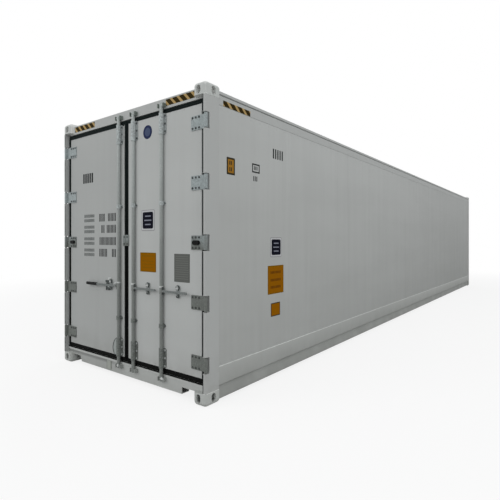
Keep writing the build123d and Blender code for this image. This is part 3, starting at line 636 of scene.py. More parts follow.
# Painted highlight along the bottom rails and painted shadow line under the top rails
highlight_sealant = moulded("highlight_sealant", PALE_HIGHLIGHT_SEALANT, 0.55)
shade_sealant = moulded("shade_sealant", DARK_SHADE_SEALANT, 0.6)
low_beads, top_beads = [], []
for side_name, side in SIDES:
    low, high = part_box(side_name + "_side_wall")
    wall_y = outer_y(side_name + "_side_wall", side)
    low_beads.append(bead(wall_y, low.z, (low.x, high.x), LOW_BEAD_RADIUS))
    top_beads.append(bead(wall_y, high.z, (low.x, high.x), TOP_BEAD_RADIUS))
make("bottom_rail_highlight_sealant", low_beads, highlight_sealant, "container", "wall_paint")
make("top_rail_shade_sealant", top_beads, shade_sealant, "container", "wall_paint")


# Closed front wall
# The far end is a plain foam-cored wall like the sides, set back behind the castings. Its
# sheet is lapped at upright seams and riveted all round.
FRONT_SEAM_PITCH = 0.76

low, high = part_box("front_wall")
front = facing((1, 0, 0), (high.x, 0, 0))
spans = (low.y, high.y), (low.z, high.z)
front_details = sheet_seams(front, *spans, FRONT_SEAM_PITCH)
front_details += rivet_rows(front, *spans, WALL_RIVET_EDGE, WALL_RIVET_PITCH, uprights=True)
make("front_wall_seams", front_details, wall_paint, "container", "wall_paint")


# Roof
# A foam-cored panel between the top rails, its sheet lapped crossways every two metres or
# so and riveted along both edges. Nothing shades it, so it carries the most dust.
ROOF_GREY = (164, 166, 165)
ROOF_SEAM_PITCH = 2.0
ROOF_SEAM_RISE = 0.002
ROOF_SEAM_RIM = 0.0008

roof_paint = paint("roof_paint", ROOF_GREY, gloss=0.62, waves=0.002, dust=0.42, patches=0.4)
dress(roof_paint, "roof")
low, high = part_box("roof")
roof_top = facing((0, 0, 1), (0, 0, high.z), up=(0, 1, 0))
spans = (low.x, high.x), (low.y, high.y)
roof_details = sheet_seams(roof_top, *spans, ROOF_SEAM_PITCH, SEAM_WIDTH, ROOF_SEAM_RISE, ROOF_SEAM_RIM)
roof_details += rivet_rows(roof_top, *spans, WALL_RIVET_EDGE, WALL_RIVET_PITCH)
make("roof_seams", roof_details, roof_paint, "container", "roof_paint")


# Linings
# Thin stainless sheets that line the hold, left in their mill finish. The side sheets are
# pressed with shallow upright ribs so that air can pass behind the load.
LINING_GREY = (196, 198, 199)
RIB_PITCH = 0.15
RIB_WIDTH = 0.05
RIB_RISE = 0.0018
RIB_CORNER = 0.012
RIB_RIM = 0.0015
RIB_ENDS = 0.2
RIB_FOOT = 0.05
RIB_HEAD = 0.1


def rolled_metal(name, colour, roughness, drag, grime=0.25):
    """Bare metal with drawn-out rolling marks along one axis."""
    material, shader = finish(name)
    tree = material.node_tree
    marks = cloud(tree, 14.0, 5.0, drag)
    smears = fade(cloud(tree, 2.4, 4.0), 0.3, 0.7, -0.05, 0.05)
    tone = shaded(linear(*colour), plus(fade(marks, 0.2, 0.8, 0.86, 1.1), smears))
    rough = calc("MULTIPLY_ADD", marks, 0.2, roughness)
    dusted = {"Colour": tone, "Roughness": rough, "Amount": grime, "Reach": 0.4}
    dusted = placed(tree, ROAD_DUST_FILM, dusted)
    shader.inputs["Metallic"].default_value = 0.85
    wire(shader, dusted["Colour"], dusted["Roughness"], marks, 0.0003, 0.5)
    return material


lining_steel = rolled_metal("lining_steel", LINING_GREY, 0.8, (1, 1, 0.04))
dress(lining_steel, "right_wall_lining", "left_wall_lining", "front_wall_lining", "ceiling_lining")
floor_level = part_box("t_bar_floor")[1].z
for side_name, side in SIDES:
    low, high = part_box(side_name + "_wall_lining")
    lining = facing((0, -side, 0), (0, high.y if side < 0 else low.y, 0))
    rib_levels = (floor_level + RIB_FOOT, high.z - RIB_HEAD)
    ribs = []
    for middle in spaced(low.x + RIB_ENDS, high.x - RIB_ENDS, RIB_PITCH):
        span = (side * middle - RIB_WIDTH / 2, side * middle + RIB_WIDTH / 2)
        ribs.append(plate(lining, span, rib_levels, RIB_RISE, RIB_CORNER, RIB_RIM))
    make(side_name + "_lining_ribs", ribs, lining_steel, "container", "lining_steel")


# Floor and what carries it
# Extruded aluminium T-bars that let cold air run under the load, on a foam slab with a dark
# coating. Steel channels below it, painted like the frame, take the weight to the rails.
FLOOR_GREY = (178, 181, 183)
UNDER_COAT = (60, 62, 61)

floor_aluminium = rolled_metal("floor_aluminium", FLOOR_GREY, 0.82, (0.03, 1, 1), grime=0.45)
dress(floor_aluminium, "t_bar_floor")
underfloor_coating = moulded("underfloor_coating", UNDER_COAT, 0.75, grain=0.0008, dust=0.5)
dress(underfloor_coating, "floor_slab")
dress(frame_paint, "cross_members")


# Door leaves
# Two foam-cored doors with a sprayed sheet outside, closed at the edge by a row of rivets
# all round. Inside they have a pale moulded liner with rounded corners.
DOOR_GREYS = {"right": (164, 166, 165), "left": (153, 155, 154)}
DOOR_BANDS = 0.018
DOOR_STREAKS = 0.005
LINER_WHITE = (196, 198, 196)
LEAF_RIVET_EDGE = 0.022
LEAF_RIVET_PITCH = 0.11
LINER_MARGIN = 0.045
LINER_RISE = 0.004
LINER_CORNER = 0.06
LINER_RIM = 0.003


def door_end(x, level=0.0):
    """Face that looks out of the door end, at a place along the box."""
    return facing((-1, 0, 0), (x, 0, level))


def seen_span(low, high):
    """Span of a box across the door end, from a viewer's left to the right."""
    return (-high.y, -low.y)


def on_door(side_name, label, pieces, material, slot="galvanised_steel"):
    """Fixes a piece to one of the doors."""
    make(f"{side_name}_{label}", pieces, material, side_name + "_door", slot)


liner_plastic = moulded("liner_plastic", LINER_WHITE, 0.4, grain=0.0001, grain_scale=200.0)
for side_name, side in SIDES:
    door_paint = paint(side_name + "_door_paint", DOOR_GREYS[side_name], waves=0.0014, runs=0.035)
    darkened(door_paint, uneven(door_paint.node_tree, DOOR_BANDS, DOOR_STREAKS))
    dress(door_paint, side_name + "_door_leaf")
    low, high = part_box(side_name + "_door_leaf")
    spans = seen_span(low, high), (low.z, high.z)
    rivets = rivet_rows(door_end(low.x), *spans, LEAF_RIVET_EDGE, LEAF_RIVET_PITCH, uprights=True)
    on_door(side_name, "leaf_rivets", rivets, door_paint, "door_paint")
    inside = facing((1, 0, 0), (high.x, 0, 0))
    span = (low.y + LINER_MARGIN, high.y - LINER_MARGIN)
    levels = (low.z + LINER_MARGIN, high.z - LINER_MARGIN)
    liner = [plate(inside, span, levels, LINER_RISE, LINER_CORNER, LINER_RIM)]
    on_door(side_name, "door_liner", liner, liner_plastic, "door_paint")
leaf_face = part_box("right_door_leaf")[0].x


# Door seals
# Black extruded rubber that closes the gap round each door. Two soft lips stand up along
# it, one towards the frame and one towards the leaf, and a thin flange laps the leaf's top.
# The flange is taller on the left door, and its black stands partly as painted shade under the header.
SEAL_BLACK = (5, 6, 6)
BLEACHED_RUBBER = (30, 39, 39)
BLEACHED_LEVELS = (1.0, 2.7, 0.0, 0.75)
LIP_SECTION = ((0, 0), (0.15, 0.7), (0.5, 1), (0.85, 0.7), (1, 0))
LIP_WIDTH = 0.010
LIP_RISE = 0.0045
LIP_INSET = 0.003
LIP_CORNER = 0.03
# Heights of the black flange, which also stands as painted shade under the header
SHADE_FLANGE_HEIGHTS = {"right": 0.007, "left": 0.015}
FLANGE_RISE = 0.003


def lip(face, across_pair, up_pair, inset):
    """Soft ridge that runs round a rectangle on a face."""
    rings = []
    for out_share, rise_share in LIP_SECTION:
        shift = inset + LIP_WIDTH * out_share
        corner = max(LIP_CORNER - shift, 0.001)
        rings.append(ring_on(face, across_pair, up_pair, shift, corner, LIP_RISE * rise_share))
    return skinned(rings, loop=True)


seal_rubber = moulded("seal_rubber", SEAL_BLACK, 0.8, dust=0.02, shine=0.08)
overlaid(seal_rubber, fade(place_axes(seal_rubber)["Z"], *BLEACHED_LEVELS), BLEACHED_RUBBER)
dress(seal_rubber, "right_door_seal", "left_door_seal")
for side_name, side in SIDES:
    low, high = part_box(side_name + "_door_seal")
    leaf_low, leaf_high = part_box(side_name + "_door_leaf")
    spans = seen_span(low, high), (low.z, high.z)
    band = min(leaf_low.y - low.y, high.y - leaf_high.y)
    lips = [lip(door_end(low.x), *spans, inset) for inset in (LIP_INSET, band - LIP_WIDTH - LIP_INSET)]
    shade_flange_levels = (leaf_high.z - SHADE_FLANGE_HEIGHTS[side_name], leaf_high.z)
    flange = seen_span(leaf_low, leaf_high), shade_flange_levels
    lips.append(plate(door_end(leaf_low.x), *flange, FLANGE_RISE, 0.002, 0.001))
    on_door(side_name, "seal_lips", lips, seal_rubber, "seal_rubber")


# Hinges
# Five galvanised steel straps a door, each with a barrel that turns on a pin in the post.
# Six bolts hold a strap to the leaf, and the middle one carries a black rubber buffer.
ZINC_GREY = (172, 181, 182)
ZINC_GRIME = (126, 130, 126)
ZINC_EDGE = (196, 199, 200)
GRIME_LEVEL = 1.5
BOLT_GREY = (92, 96, 97)
BOLT_GRIME = (96, 100, 97)
PIN_GREY = (120, 123, 124)
PIN_GRIME = (88, 90, 88)
BUFFER_BLACK = (8, 9, 9)
HINGE_COUNT = 5
STRAP_HEIGHT = 0.13
STRAP_RISE = 0.008
STRAP_BOLT_INSETS = (0.118, 0.16, 0.202)
STRAP_BOLT_ROW = 0.048
STRAP_BOLT_SIZE = 0.0085
BUFFER_LENGTH = 0.092
BUFFER_HEIGHT = 0.04
BUFFER_RISE = 0.018
BUFFER_RIM = 0.006
BUFFER_INSET = 0.154


def zinc_spangle():
    """Hot-dip zinc: a patchwork of crystals that dulls to grey grime near the ground."""
    inputs = {"Colour": linear(*ZINC_GREY), "Grime": linear(*ZINC_GRIME), "Crystals": 90.0}
    inputs.update({"Contrast": 0.5, "Grime Level": GRIME_LEVEL, "Grime Spread": 0.4, "Patches": 0.3})
    group, given, result = effect("zinc_spangle", inputs, SKIN_OUTPUTS)
    place = own_place(group)
    cells = add(group, "ShaderNodeTexVoronoi", {"Vector": place, "Scale": given["Crystals"]})
    tone = add(group, "ShaderNodeSeparateColor", {0: cells.outputs["Color"]}).outputs
    share = plus(times(minus(tone[0], 0.5), given["Contrast"]), 1.0)
    below = calc("DIVIDE", minus(given["Grime Level"], xyz(place)["Z"]), given["Grime Spread"])
    patchy = times(fade(cloud(group, 7.0), 0.2, 0.8, -1.0, 1.0), given["Patches"])
    dull = fade(plus(below, patchy), -0.5, 0.5)
    feed(result["Colour"], tint(dull, shaded(given["Colour"], share), shaded(given["Grime"], share)))
    rough = calc("MULTIPLY_ADD", tone[1], 0.22, 0.84)
    feed(result["Roughness"], plus(rough, times(dull, 0.18)))
    feed(result["Height"], times(cloud(group, 260.0), 0.00012))
    return group


ZINC_SPANGLE = zinc_spangle()


def zinc(name, colour, grime=None, contrast=0.3, metallic=0.25, level=GRIME_LEVEL, spread=0.3, patches=0.3):
    """Galvanised steel, dulled to its grime below a level, or of one colour with no grime given."""
    material, shader = finish(name)
    values = {"Colour": linear(*colour), "Grime": linear(*(grime or colour)), "Contrast": contrast}
    values.update({"Grime Level": level, "Grime Spread": spread, "Patches": patches})
    skin = placed(material.node_tree, ZINC_SPANGLE, values)
    edge = placed(material.node_tree, SCUFFED_EDGE, {"Radius": 0.002, "Amount": 0.5})
    shader.inputs["Metallic"].default_value = metallic
    worn = tint(edge["Mask"], skin["Colour"], linear(*ZINC_EDGE))
    wire(shader, worn, skin["Roughness"], skin["Height"])
    return material


def hex_bolt(face, across, up, size, base=0.0):
    """Hexagon head on a round washer."""
    washer = [(size * 1.3, base), (size * 1.3, base + size * 0.16), (size * 1.2, base + size * 0.22)]
    head = [(size, base + size * 0.22), (size, base + size * 0.75), (size * 0.8, base + size * 0.92)]
    return [turned(face, across, up, washer, 18), turned(face, across, up, head, 6)]


def about(middle, whole):
    """Span of a whole length about its middle."""
    return (middle - whole / 2, middle + whole / 2)


galvanised = zinc("galvanised_steel", ZINC_GREY, ZINC_GRIME)
bolt_steel = zinc("bolt_steel", BOLT_GREY, BOLT_GRIME, metallic=0.5)
pin_steel = zinc("hinge_pin_steel", PIN_GREY, PIN_GRIME, contrast=0.2, metallic=0.7)
buffer_rubber = moulded("buffer_rubber", BUFFER_BLACK, 0.6, dust=0.03, shine=0.1)
strap = door_end(leaf_face - STRAP_RISE)
for side_name, side in SIDES:
    dress(galvanised, side_name + "_hinge_straps")
    dress(pin_steel, side_name + "_hinge_pins")
    low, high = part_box(side_name + "_hinge_straps")
    ends = (low.z + STRAP_HEIGHT / 2, high.z - STRAP_HEIGHT / 2)
    hinge_levels = spaced(*ends, (ends[1] - ends[0]) / (HINGE_COUNT - 1))
    bolts = []
    for level in hinge_levels:
        for inset in STRAP_BOLT_INSETS:
            for row in (-STRAP_BOLT_ROW, STRAP_BOLT_ROW):
                bolts += hex_bolt(strap, -side * (half_width - inset), level + row, STRAP_BOLT_SIZE)
    on_door(side_name, "hinge_bolts", bolts, bolt_steel)
    span = about(-side * (half_width - BUFFER_INSET), BUFFER_LENGTH)
    levels = about(hinge_levels[HINGE_COUNT // 2], BUFFER_HEIGHT)
    pad = [plate(strap, span, levels, BUFFER_RISE, BUFFER_HEIGHT * 0.49, BUFFER_RIM)]
    on_door(side_name, "hinge_buffer", pad, buffer_rubber, "seal_rubber")


# Landing strips
# Narrow strips of black rubber glued along the inner edges of the posts and the top of the
# sill, where the seals come down. On the posts they stop at the hinge pockets.
POST_STRIPS = {"right": 0.007, "left": 0.008}
SILL_STRIP = 0.0085
STRIP_RISE = 0.0012
STRIP_ROOT = 0.003
STRIP_CORNER = 0.001
POCKET_HALF = 0.078

for side_name, side in SIDES:
    low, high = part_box(side_name + "_door_post")
    edge = -side * sill_high.y
    span = sorted((edge, edge - side * POST_STRIPS[side_name]))
    starts = [low.z] + [level + POCKET_HALF for level in hinge_levels]
    stops = [level - POCKET_HALF for level in hinge_levels] + [high.z]
    strips = [plate(door_end(low.x), span, pair, STRIP_RISE, STRIP_CORNER) for pair in zip(starts, stops)]
    make(side_name + "_post_strips", strips, seal_rubber, "container", "seal_rubber")
strip_levels = (sill_high.z - SILL_STRIP, sill_high.z + STRIP_RISE)
strip_ends = (sill_low.y, sill_high.y)
strip = {"rise": STRIP_RISE + STRIP_ROOT, "corner": STRIP_CORNER, "base": -STRIP_ROOT}
strips = [plate(door_end(sill_low.x), strip_ends, strip_levels, **strip)]
sill_ledge = facing((0, 0, 1), (0, 0, sill_high.z), up=(0, 1, 0))
strips.append(plate(sill_ledge, (sill_low.x, sill_low.x + SILL_STRIP), strip_ends, STRIP_RISE, STRIP_CORNER))
make("sill_strip", strips, seal_rubber, "container", "seal_rubber")


# Lap plates
# A galvanised plate over the joint between the doors, which keeps one from opening before
# the other. Here it is in two halves, one bolted to each leaf, so each door swings alone.
LAP_BOLT_EDGE = 0.022
LAP_BOLT_SIZE = 0.0075

for side_name, side in SIDES:
    dress(galvanised, side_name + "_lap_plate")
    low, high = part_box(side_name + "_lap_plate")
    bolts = []
    for level in (low.z + LAP_BOLT_EDGE, high.z - LAP_BOLT_EDGE):
        bolts += hex_bolt(door_end(low.x), -(low.y + high.y) / 2, level, LAP_BOLT_SIZE)
    on_door(side_name, "lap_bolts", bolts, bolt_steel)


# Rod brackets
# Galvanised pressings that hold the lock rods to the doors: a long one at the top and
# bottom of each rod and two short guides between, all bolted through side flanges. The low
# left one has a wing pressed out beside it, with a dark rolled edge.
BRACKET_GREY = (170, 176, 176)
BRACKET_GRIME = (113, 117, 114)
LOW_BOLT_HIGHLIGHT_GREY = (176, 180, 178)
WING_GREY = (168, 174, 172)
FLANGE_FACE = 0.006
# Painted shade on the flanges by the leaf, and a painted highlight on the sleeves in front
FLANGE_SHADE_AND_SLEEVE_HIGHLIGHT = (0.008, 0.020, 0.88, 1.3)
BRACKET_BOLT_OFFSET = 0.039
BRACKET_BOLT_PITCH = 0.077
BRACKET_BOLT_SIZE = 0.0085
BRACKET_MIDDLES = (0.1025, 0.0975)
GUIDE_LEVELS = (1.84, 0.648)
GUIDE_BOLT_OFFSET = 0.034
GUIDE_BOLT_SIZE = 0.007
WING_LINE = ((0.150, 0.430), (0.196, 0.402), (0.228, 0.356), (0.238, 0.312), (0.230, 0.270), (0.212, 0.240))
WING_ROOT = (0.128, 0.022)
WING_THICKNESS = 0.003
WING_EDGE = 0.004

bracket_zinc_shade_and_highlight = zinc("bracket_zinc_shade_and_highlight", BRACKET_GREY, BRACKET_GRIME, contrast=0.5, metallic=0.2, level=1.0,
                    spread=0.1)
# Bracket bolts below half a metre are written light, a painted highlight
bracket_bolt_zinc_and_highlight = zinc("bracket_bolt_zinc_and_highlight", BOLT_GREY, LOW_BOLT_HIGHLIGHT_GREY, metallic=0.4, level=0.5,
                         spread=0.1)
# Painted shade on the bracket flanges and a painted highlight on their sleeves
flange_back, flange_front, *painted_light_shares = FLANGE_SHADE_AND_SLEEVE_HIGHLIGHT
depth = place_axes(bracket_zinc_shade_and_highlight)["X"]
darkened(bracket_zinc_shade_and_highlight, fade(depth, leaf_face - flange_back, leaf_face - flange_front, *painted_light_shares))
joints = frame["record"]["behaviour"]["joints"]
rod_y = {joint["child"]: joint["pos_m"][1] for joint in joints if "rod_turn" in joint["name"]}
flange = door_end(leaf_face - FLANGE_FACE)
for side_name, side in SIDES:
    dress(bracket_zinc_shade_and_highlight, side_name + "_rod_brackets")
    low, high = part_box(side_name + "_rod_brackets")
    bolts = []
    for middle in [-y for rod, y in rod_y.items() if rod.startswith(side_name)]:
        for centre in (high.z - BRACKET_MIDDLES[0], low.z + BRACKET_MIDDLES[1]):
            for row in (-BRACKET_BOLT_PITCH, 0, BRACKET_BOLT_PITCH):
                for shift in (-BRACKET_BOLT_OFFSET, BRACKET_BOLT_OFFSET):
                    bolts += hex_bolt(flange, middle + shift, centre + row, BRACKET_BOLT_SIZE)
        for centre in GUIDE_LEVELS:
            for shift in (-GUIDE_BOLT_OFFSET, GUIDE_BOLT_OFFSET):
                bolts += hex_bolt(flange, middle + shift, centre, GUIDE_BOLT_SIZE)
    on_door(side_name, "bracket_bolts", bolts, bracket_bolt_zinc_and_highlight)


def bent_wing(line, root, thickness):
    """Pressed wing that slopes from a bracket's sleeve down to the leaf along a curved edge."""
    root_y, root_out = root
    rings = []
    for edge_y, level in line:
        front = [(leaf_face - root_out, root_y, level), (leaf_face - thickness, edge_y, level)]
        back = [(x + thickness, y, z) for x, y, z in reversed(front)]
        rings.append([Vector(point) for point in front + back])
    return skinned(rings)


wing_zinc = zinc("wing_zinc", WING_GREY, contrast=0.2, metallic=0.2)
on_door("left", "bracket_wing", [bent_wing(WING_LINE, WING_ROOT, WING_THICKNESS)], wing_zinc)
wing_edge = [(leaf_face - WING_EDGE, edge_y, level) for edge_y, level in WING_LINE]
on_door("left", "bracket_wing_edge", [tube(wing_edge, [WING_EDGE] * len(wing_edge))], bolt_steel)


# Lock rods and handles
# Galvanised tubes that run the height of the doors with a cam at each end. A flat handle
# is riveted to a hub on each, under a bright collar and beside a dark lug, and a cast knob
# in a dark rim closes the foot of the rod. The bright collars and knobs are painted
# highlights, and the dark lugs and rims painted shade.
# Bright zinc is a painted highlight on the collars, knobs and pads, and dark steel is painted shade on the
# lugs, rims and curls
BRIGHT_AND_HIGHLIGHT_GREY = (214, 217, 216)
DARK_AND_SHADE_GREY = (84, 89, 87)
ROD_GREY = (194, 200, 198)
ROD_FOOT_GREY = (144, 148, 145)
HANDLE_GREY = (132, 137, 136)
KNOBS = {"left_rod": (0.002, 0.015, 0.021), "right_outer_rod": (0.020, 0.027, 0.014)}
KNOBS["right_inner_rod"] = (0.0, 0.015, 0.013)
KNOB_RISE = 0.012
KNOB_LEVEL = 0.027
KNOB_FACE = 0.018
KNOB_RIM = 0.004
KNOB_RIM_RISE = 0.006
KNOB_RIM_SHIFT = 0.6
ROD_DEPTH = 0.024
ROD_RADIUS = 0.0165
COLLAR_RADIUS = 0.0205
COLLAR_LEVELS = (0.030, 0.048)
COLLAR_SLOPES = (0.002, 0.003)
LUG_SPAN = (0.0195, 0.0265)
LUG_LEVELS = (-0.036, 0.040)
LUG_FACE = 0.032
LUG_FORM = {"rise": 0.018, "corner": 0.003, "rim": 0.001}

bright_zinc_and_highlight = zinc("bright_zinc_and_highlight", BRIGHT_AND_HIGHLIGHT_GREY, contrast=0.1, metallic=0.15)
dark_steel_and_shade = zinc("dark_steel_and_shade", DARK_AND_SHADE_GREY, contrast=0.25, metallic=0.2)
# The rods are written lighter at the top and darker towards the foot
rod_steel = zinc("rod_steel", ROD_GREY, ROD_FOOT_GREY, contrast=0.1, metallic=0.2, level=1.7, spread=1.9,
                 patches=0.06)
handle_steel = zinc("handle_steel", HANDLE_GREY, contrast=0.16, metallic=0.2)
handle_level = joints[-1]["pos_m"][2]


def oval(face, across, up, half_wide, half_high, rise, base=0.0):
    """Low oval dome on a face."""
    place = face @ Matrix.Translation((across, up, base)) @ Matrix.Diagonal((half_wide, half_high, 1, 1))
    profile = [(0.9, 0), (1, rise * 0.3), (0.86, rise * 0.75), (0.5, rise * 0.96), (0.15, rise)]
    return turned(place, 0, 0, profile, 24)


foot = door_end(-half_length + KNOB_FACE)
hub = door_end(-half_length + LUG_FACE, handle_level)
(collar_foot, collar_top), (slope_foot, slope_top) = COLLAR_LEVELS, COLLAR_SLOPES
collar = [(ROD_RADIUS, collar_foot), (COLLAR_RADIUS, collar_foot + slope_foot)]
collar += [(COLLAR_RADIUS, collar_top - slope_top), (ROD_RADIUS, collar_top)]
for body, (shift, half_wide, half_high) in KNOBS.items():
    rod = body.replace("_rod", "_lock_rod")
    dress(rod_steel, rod)
    dress(handle_steel, body.replace("_rod", "_handle"))
    middle, side = -rod_y[body], math.copysign(1, rod_y[body])
    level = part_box(rod)[0].z + KNOB_LEVEL
    rim = half_wide + KNOB_RIM, half_high + KNOB_RIM, KNOB_RIM_RISE, -KNOB_RIM
    axis = facing((0, 0, 1), (-half_length + ROD_DEPTH, rod_y[body], handle_level), up=(0, 1, 0))
    span = sorted((middle - side * LUG_SPAN[0], middle - side * LUG_SPAN[1]))
    pieces = {
        "foot_rim": (oval(foot, middle + shift * KNOB_RIM_SHIFT, level, *rim), dark_steel_and_shade),
        "knob": (oval(foot, middle + shift, level, half_wide, half_high, KNOB_RISE),
                 rod_steel if shift == 0 else bright_zinc_and_highlight),
        "collar": (turned(axis, 0, 0, collar, 24), bright_zinc_and_highlight),
        "hub_lug": (plate(hub, span, LUG_LEVELS, **LUG_FORM), dark_steel_and_shade),
    }
    for label, (piece, material) in pieces.items():
        make(f"{body}_{label}", [piece], material, body, "rod_steel")


# Left handle grip
# A ribbed black plastic sleeve pushed over the end of the long left handle, thicker than
# the bar, with rounded edges so that it can be gripped in gloves.
GRIP_BLACK = (10, 11, 11)
GRIP_RIBS = 9
GRIP_SWELL = 0.003
GRIP_RIB_DEPTH = 0.0016
GRIP_STEPS = 90
GRIP_SIDES = 24
GRIP_SQUARENESS = 0.6
GRIP_END_SHARE = 0.06
GRIP_END_LEAST = 0.12


def squared(turn):
    """Sine or cosine drawn out towards the corners of a square."""
    return math.copysign(abs(turn) ** GRIP_SQUARENESS, turn)


grip_plastic = moulded("grip_plastic", GRIP_BLACK, 0.55, grain=0.00015, dust=0.03, shine=0.12)
low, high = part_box("left_handle_grip")
centre = (low + high) / 2
half_deep, half_tall = (high.x - low.x) / 2, (high.z - low.z) / 2 + GRIP_SWELL
rings = []
for step in range(GRIP_STEPS, -1, -1):
    share = step / GRIP_STEPS
    past = max(0, abs(2 * share - 1) - (1 - GRIP_END_SHARE)) / GRIP_END_SHARE
    end_round = min(1.0, math.sqrt(max(0.0, 1 - past ** 2)) + GRIP_END_LEAST)
    rib = GRIP_RIB_DEPTH * (0.5 - 0.5 * math.cos(math.tau * GRIP_RIBS * share))
    deep, tall = (half_deep - rib) * end_round, (half_tall - rib) * end_round
    place = low.y + (high.y - low.y) * share
    ring = [(centre.x + deep * squared(cos), place, centre.z + tall * squared(sin))
            for cos, sin in circle(GRIP_SIDES)]
    rings.append([Vector(point) for point in ring])
grip = make("left_handle_sleeve", [skinned(rings)], grip_plastic, "left_lever", "grip_plastic")
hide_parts("left_handle_grip")


# Handle retainers
# Cast catches bolted to the doors that hold the handles down. Above the handle the casting
# curls over like a hook round a bright pad, and below it a short heel turns out under the
# shelf. The dark curls are painted shade and the bright pads a painted highlight. The left
# one sits on a broad plate with blocks, two prongs, a tab and a washer.
RETAINERS = (("right", "right_handle_retainers"), ("left", "left_handle_retainer"))
RETAINER_GREY = (166, 171, 170)
RETAINER_WIDTH = 0.046
RETAINER_FACE = 0.010
RETAINER_BOLTS = ((-0.017, 0.028), (0.017, 0.028), (-0.017, -0.041), (0.017, -0.041))
RETAINER_BOLT_SIZE = 0.005
RETAINER_PAD = (0.018, 0.017, 0.007)
PAD_SHIFT = (-0.004, -0.002)
CURL_FACE = 0.012
CURL_RADIUS = 0.021
CURL_TURN = (170, -70)
CURL_BAR = 0.0065
CURL_RISE = 0.042
CURL_STEPS = 14
HEEL_RADIUS = 0.014
HEEL_TURN = (110, -130)
HEEL_DROP = 0.034
CATCH_PLATE = ((-0.372, -0.256), (-0.044, 0.048))
CATCH_BLOCKS = (((-0.373, -0.318), (0.027, 0.050)), ((-0.354, -0.302), (0.006, 0.022)))
CATCH_BLOCKS += (((-0.364, -0.302), (-0.034, -0.021)),)
CATCH_PLATE_FORM = {"rise": 0.005, "corner": 0.012, "rim": 0.002}
CATCH_BLOCK_FORM = {"rise": 0.012, "corner": 0.006, "rim": 0.003}
CATCH_PRONGS = (-0.355, -0.313)
PRONG_LEVELS = (-0.062, -0.026)
PRONG_WIDTH = 0.014
PRONG_FORM = {"rise": 0.014, "corner": 0.005, "rim": 0.003}
CATCH_TAB = ((-0.333, -0.272), (0.046, 0.080))
TAB_FORM = {"rise": 0.004, "corner": 0.010, "rim": 0.001}
CATCH_WASHER = (-0.198, 0.018)
WASHER_RADIUS = 0.017
WASHER_RISE = 0.005
WASHER_BOLT_SIZE = 0.009

retainer_zinc = zinc("retainer_zinc", RETAINER_GREY, contrast=0.2, metallic=0.2)
curl_face = door_end(leaf_face - CURL_FACE)
plate_face = door_end(leaf_face - RETAINER_FACE)


def curl(across, up, radius, turn_pair):
    """Bent bar of the catch, an arc in front of its plate."""
    start, end = turn_pair
    turns = [math.radians(start + (end - start) * step / CURL_STEPS) for step in range(CURL_STEPS + 1)]
    path = [(across + radius * math.cos(turn), up + radius * math.sin(turn), 0) for turn in turns]
    return tube([curl_face @ Vector(point) for point in path], [CURL_BAR] * len(path), 10)


def flat_disc(face, centre, radius, rise, rim, sides, base=0.0):
    """Thin round disc with a softened rim."""
    profile = [(radius, base), (radius, base + rise * 0.8), (radius - rim, base + rise)]
    return turned(face, *centre, profile, sides)


for side_name, name in RETAINERS:
    dress(retainer_zinc, name)
    low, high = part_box(name)
    middles = [-low.y - RETAINER_WIDTH / 2]
    if high.y - low.y > 2 * RETAINER_WIDTH:
        middles.append(-high.y + RETAINER_WIDTH / 2)
    curls, pads, bolts = [], [], []
    for middle in middles:
        curls.append(curl(middle, handle_level + CURL_RISE, CURL_RADIUS, CURL_TURN))
        curls.append(curl(middle, handle_level - HEEL_DROP, HEEL_RADIUS, HEEL_TURN))
        pad = (middle + PAD_SHIFT[0], handle_level + CURL_RISE + PAD_SHIFT[1])
        pads.append(oval(plate_face, *pad, *RETAINER_PAD))
        for across, up in RETAINER_BOLTS:
            bolts += hex_bolt(plate_face, middle + across, handle_level + up, RETAINER_BOLT_SIZE)
    on_door(side_name, "retainer_curls", curls, dark_steel_and_shade)
    on_door(side_name, "retainer_pads", pads, bright_zinc_and_highlight)
    on_door(side_name, "retainer_bolts", bolts, bolt_steel)

leaf_front = door_end(leaf_face, handle_level)
on_door("left", "catch_plate", [plate(leaf_front, *CATCH_PLATE, **CATCH_PLATE_FORM)], handle_steel)
jaws = [plate(leaf_front, *block, **CATCH_BLOCK_FORM) for block in CATCH_BLOCKS]
for across in CATCH_PRONGS:
    jaws.append(plate(leaf_front, about(across, PRONG_WIDTH), PRONG_LEVELS, **PRONG_FORM))
on_door("left", "catch_jaws", jaws, dark_steel_and_shade)
tabs = [plate(leaf_front, *CATCH_TAB, **TAB_FORM)]
tabs.append(flat_disc(leaf_front, CATCH_WASHER, WASHER_RADIUS, WASHER_RISE, WASHER_RADIUS * 0.06, 24))
tabs += hex_bolt(leaf_front, *CATCH_WASHER, WASHER_BOLT_SIZE, WASHER_RISE)
on_door("left", "catch_tabs", tabs, bright_zinc_and_highlight)


# Cam keepers
# Steel lugs welded to the header and sill in pairs. The cams of the rods turn in between
# them and draw the doors tight.
KEEPER_SHADE_GREY = (118, 127, 121)
KEEPER_LIT_GREY = (166, 169, 166)

# Header keepers are written dark as painted shade, and sill keepers light as a painted light against their
# shade
keeper_painted_light = zinc("keeper_painted_light", KEEPER_SHADE_GREY, KEEPER_LIT_GREY, contrast=0.35)
dress(keeper_painted_light, "header_cam_keepers", "sill_cam_keepers")


# Sill pad
# A small steel pad welded to the face of the sill left of the left rod. Its edges are
# written darker, so they show as two dark lines.
PAD_GREY = (147, 150, 145)
PAD_EDGE_DARK = (112, 116, 109)
PAD_SPAN = (-0.368, -0.278)
PAD_LEVELS = (0.050, 0.147)
PAD_RISES = (0.0022, 0.0008)
PAD_EDGES = (0.010, 0.012)
PAD_CORNER = 0.003

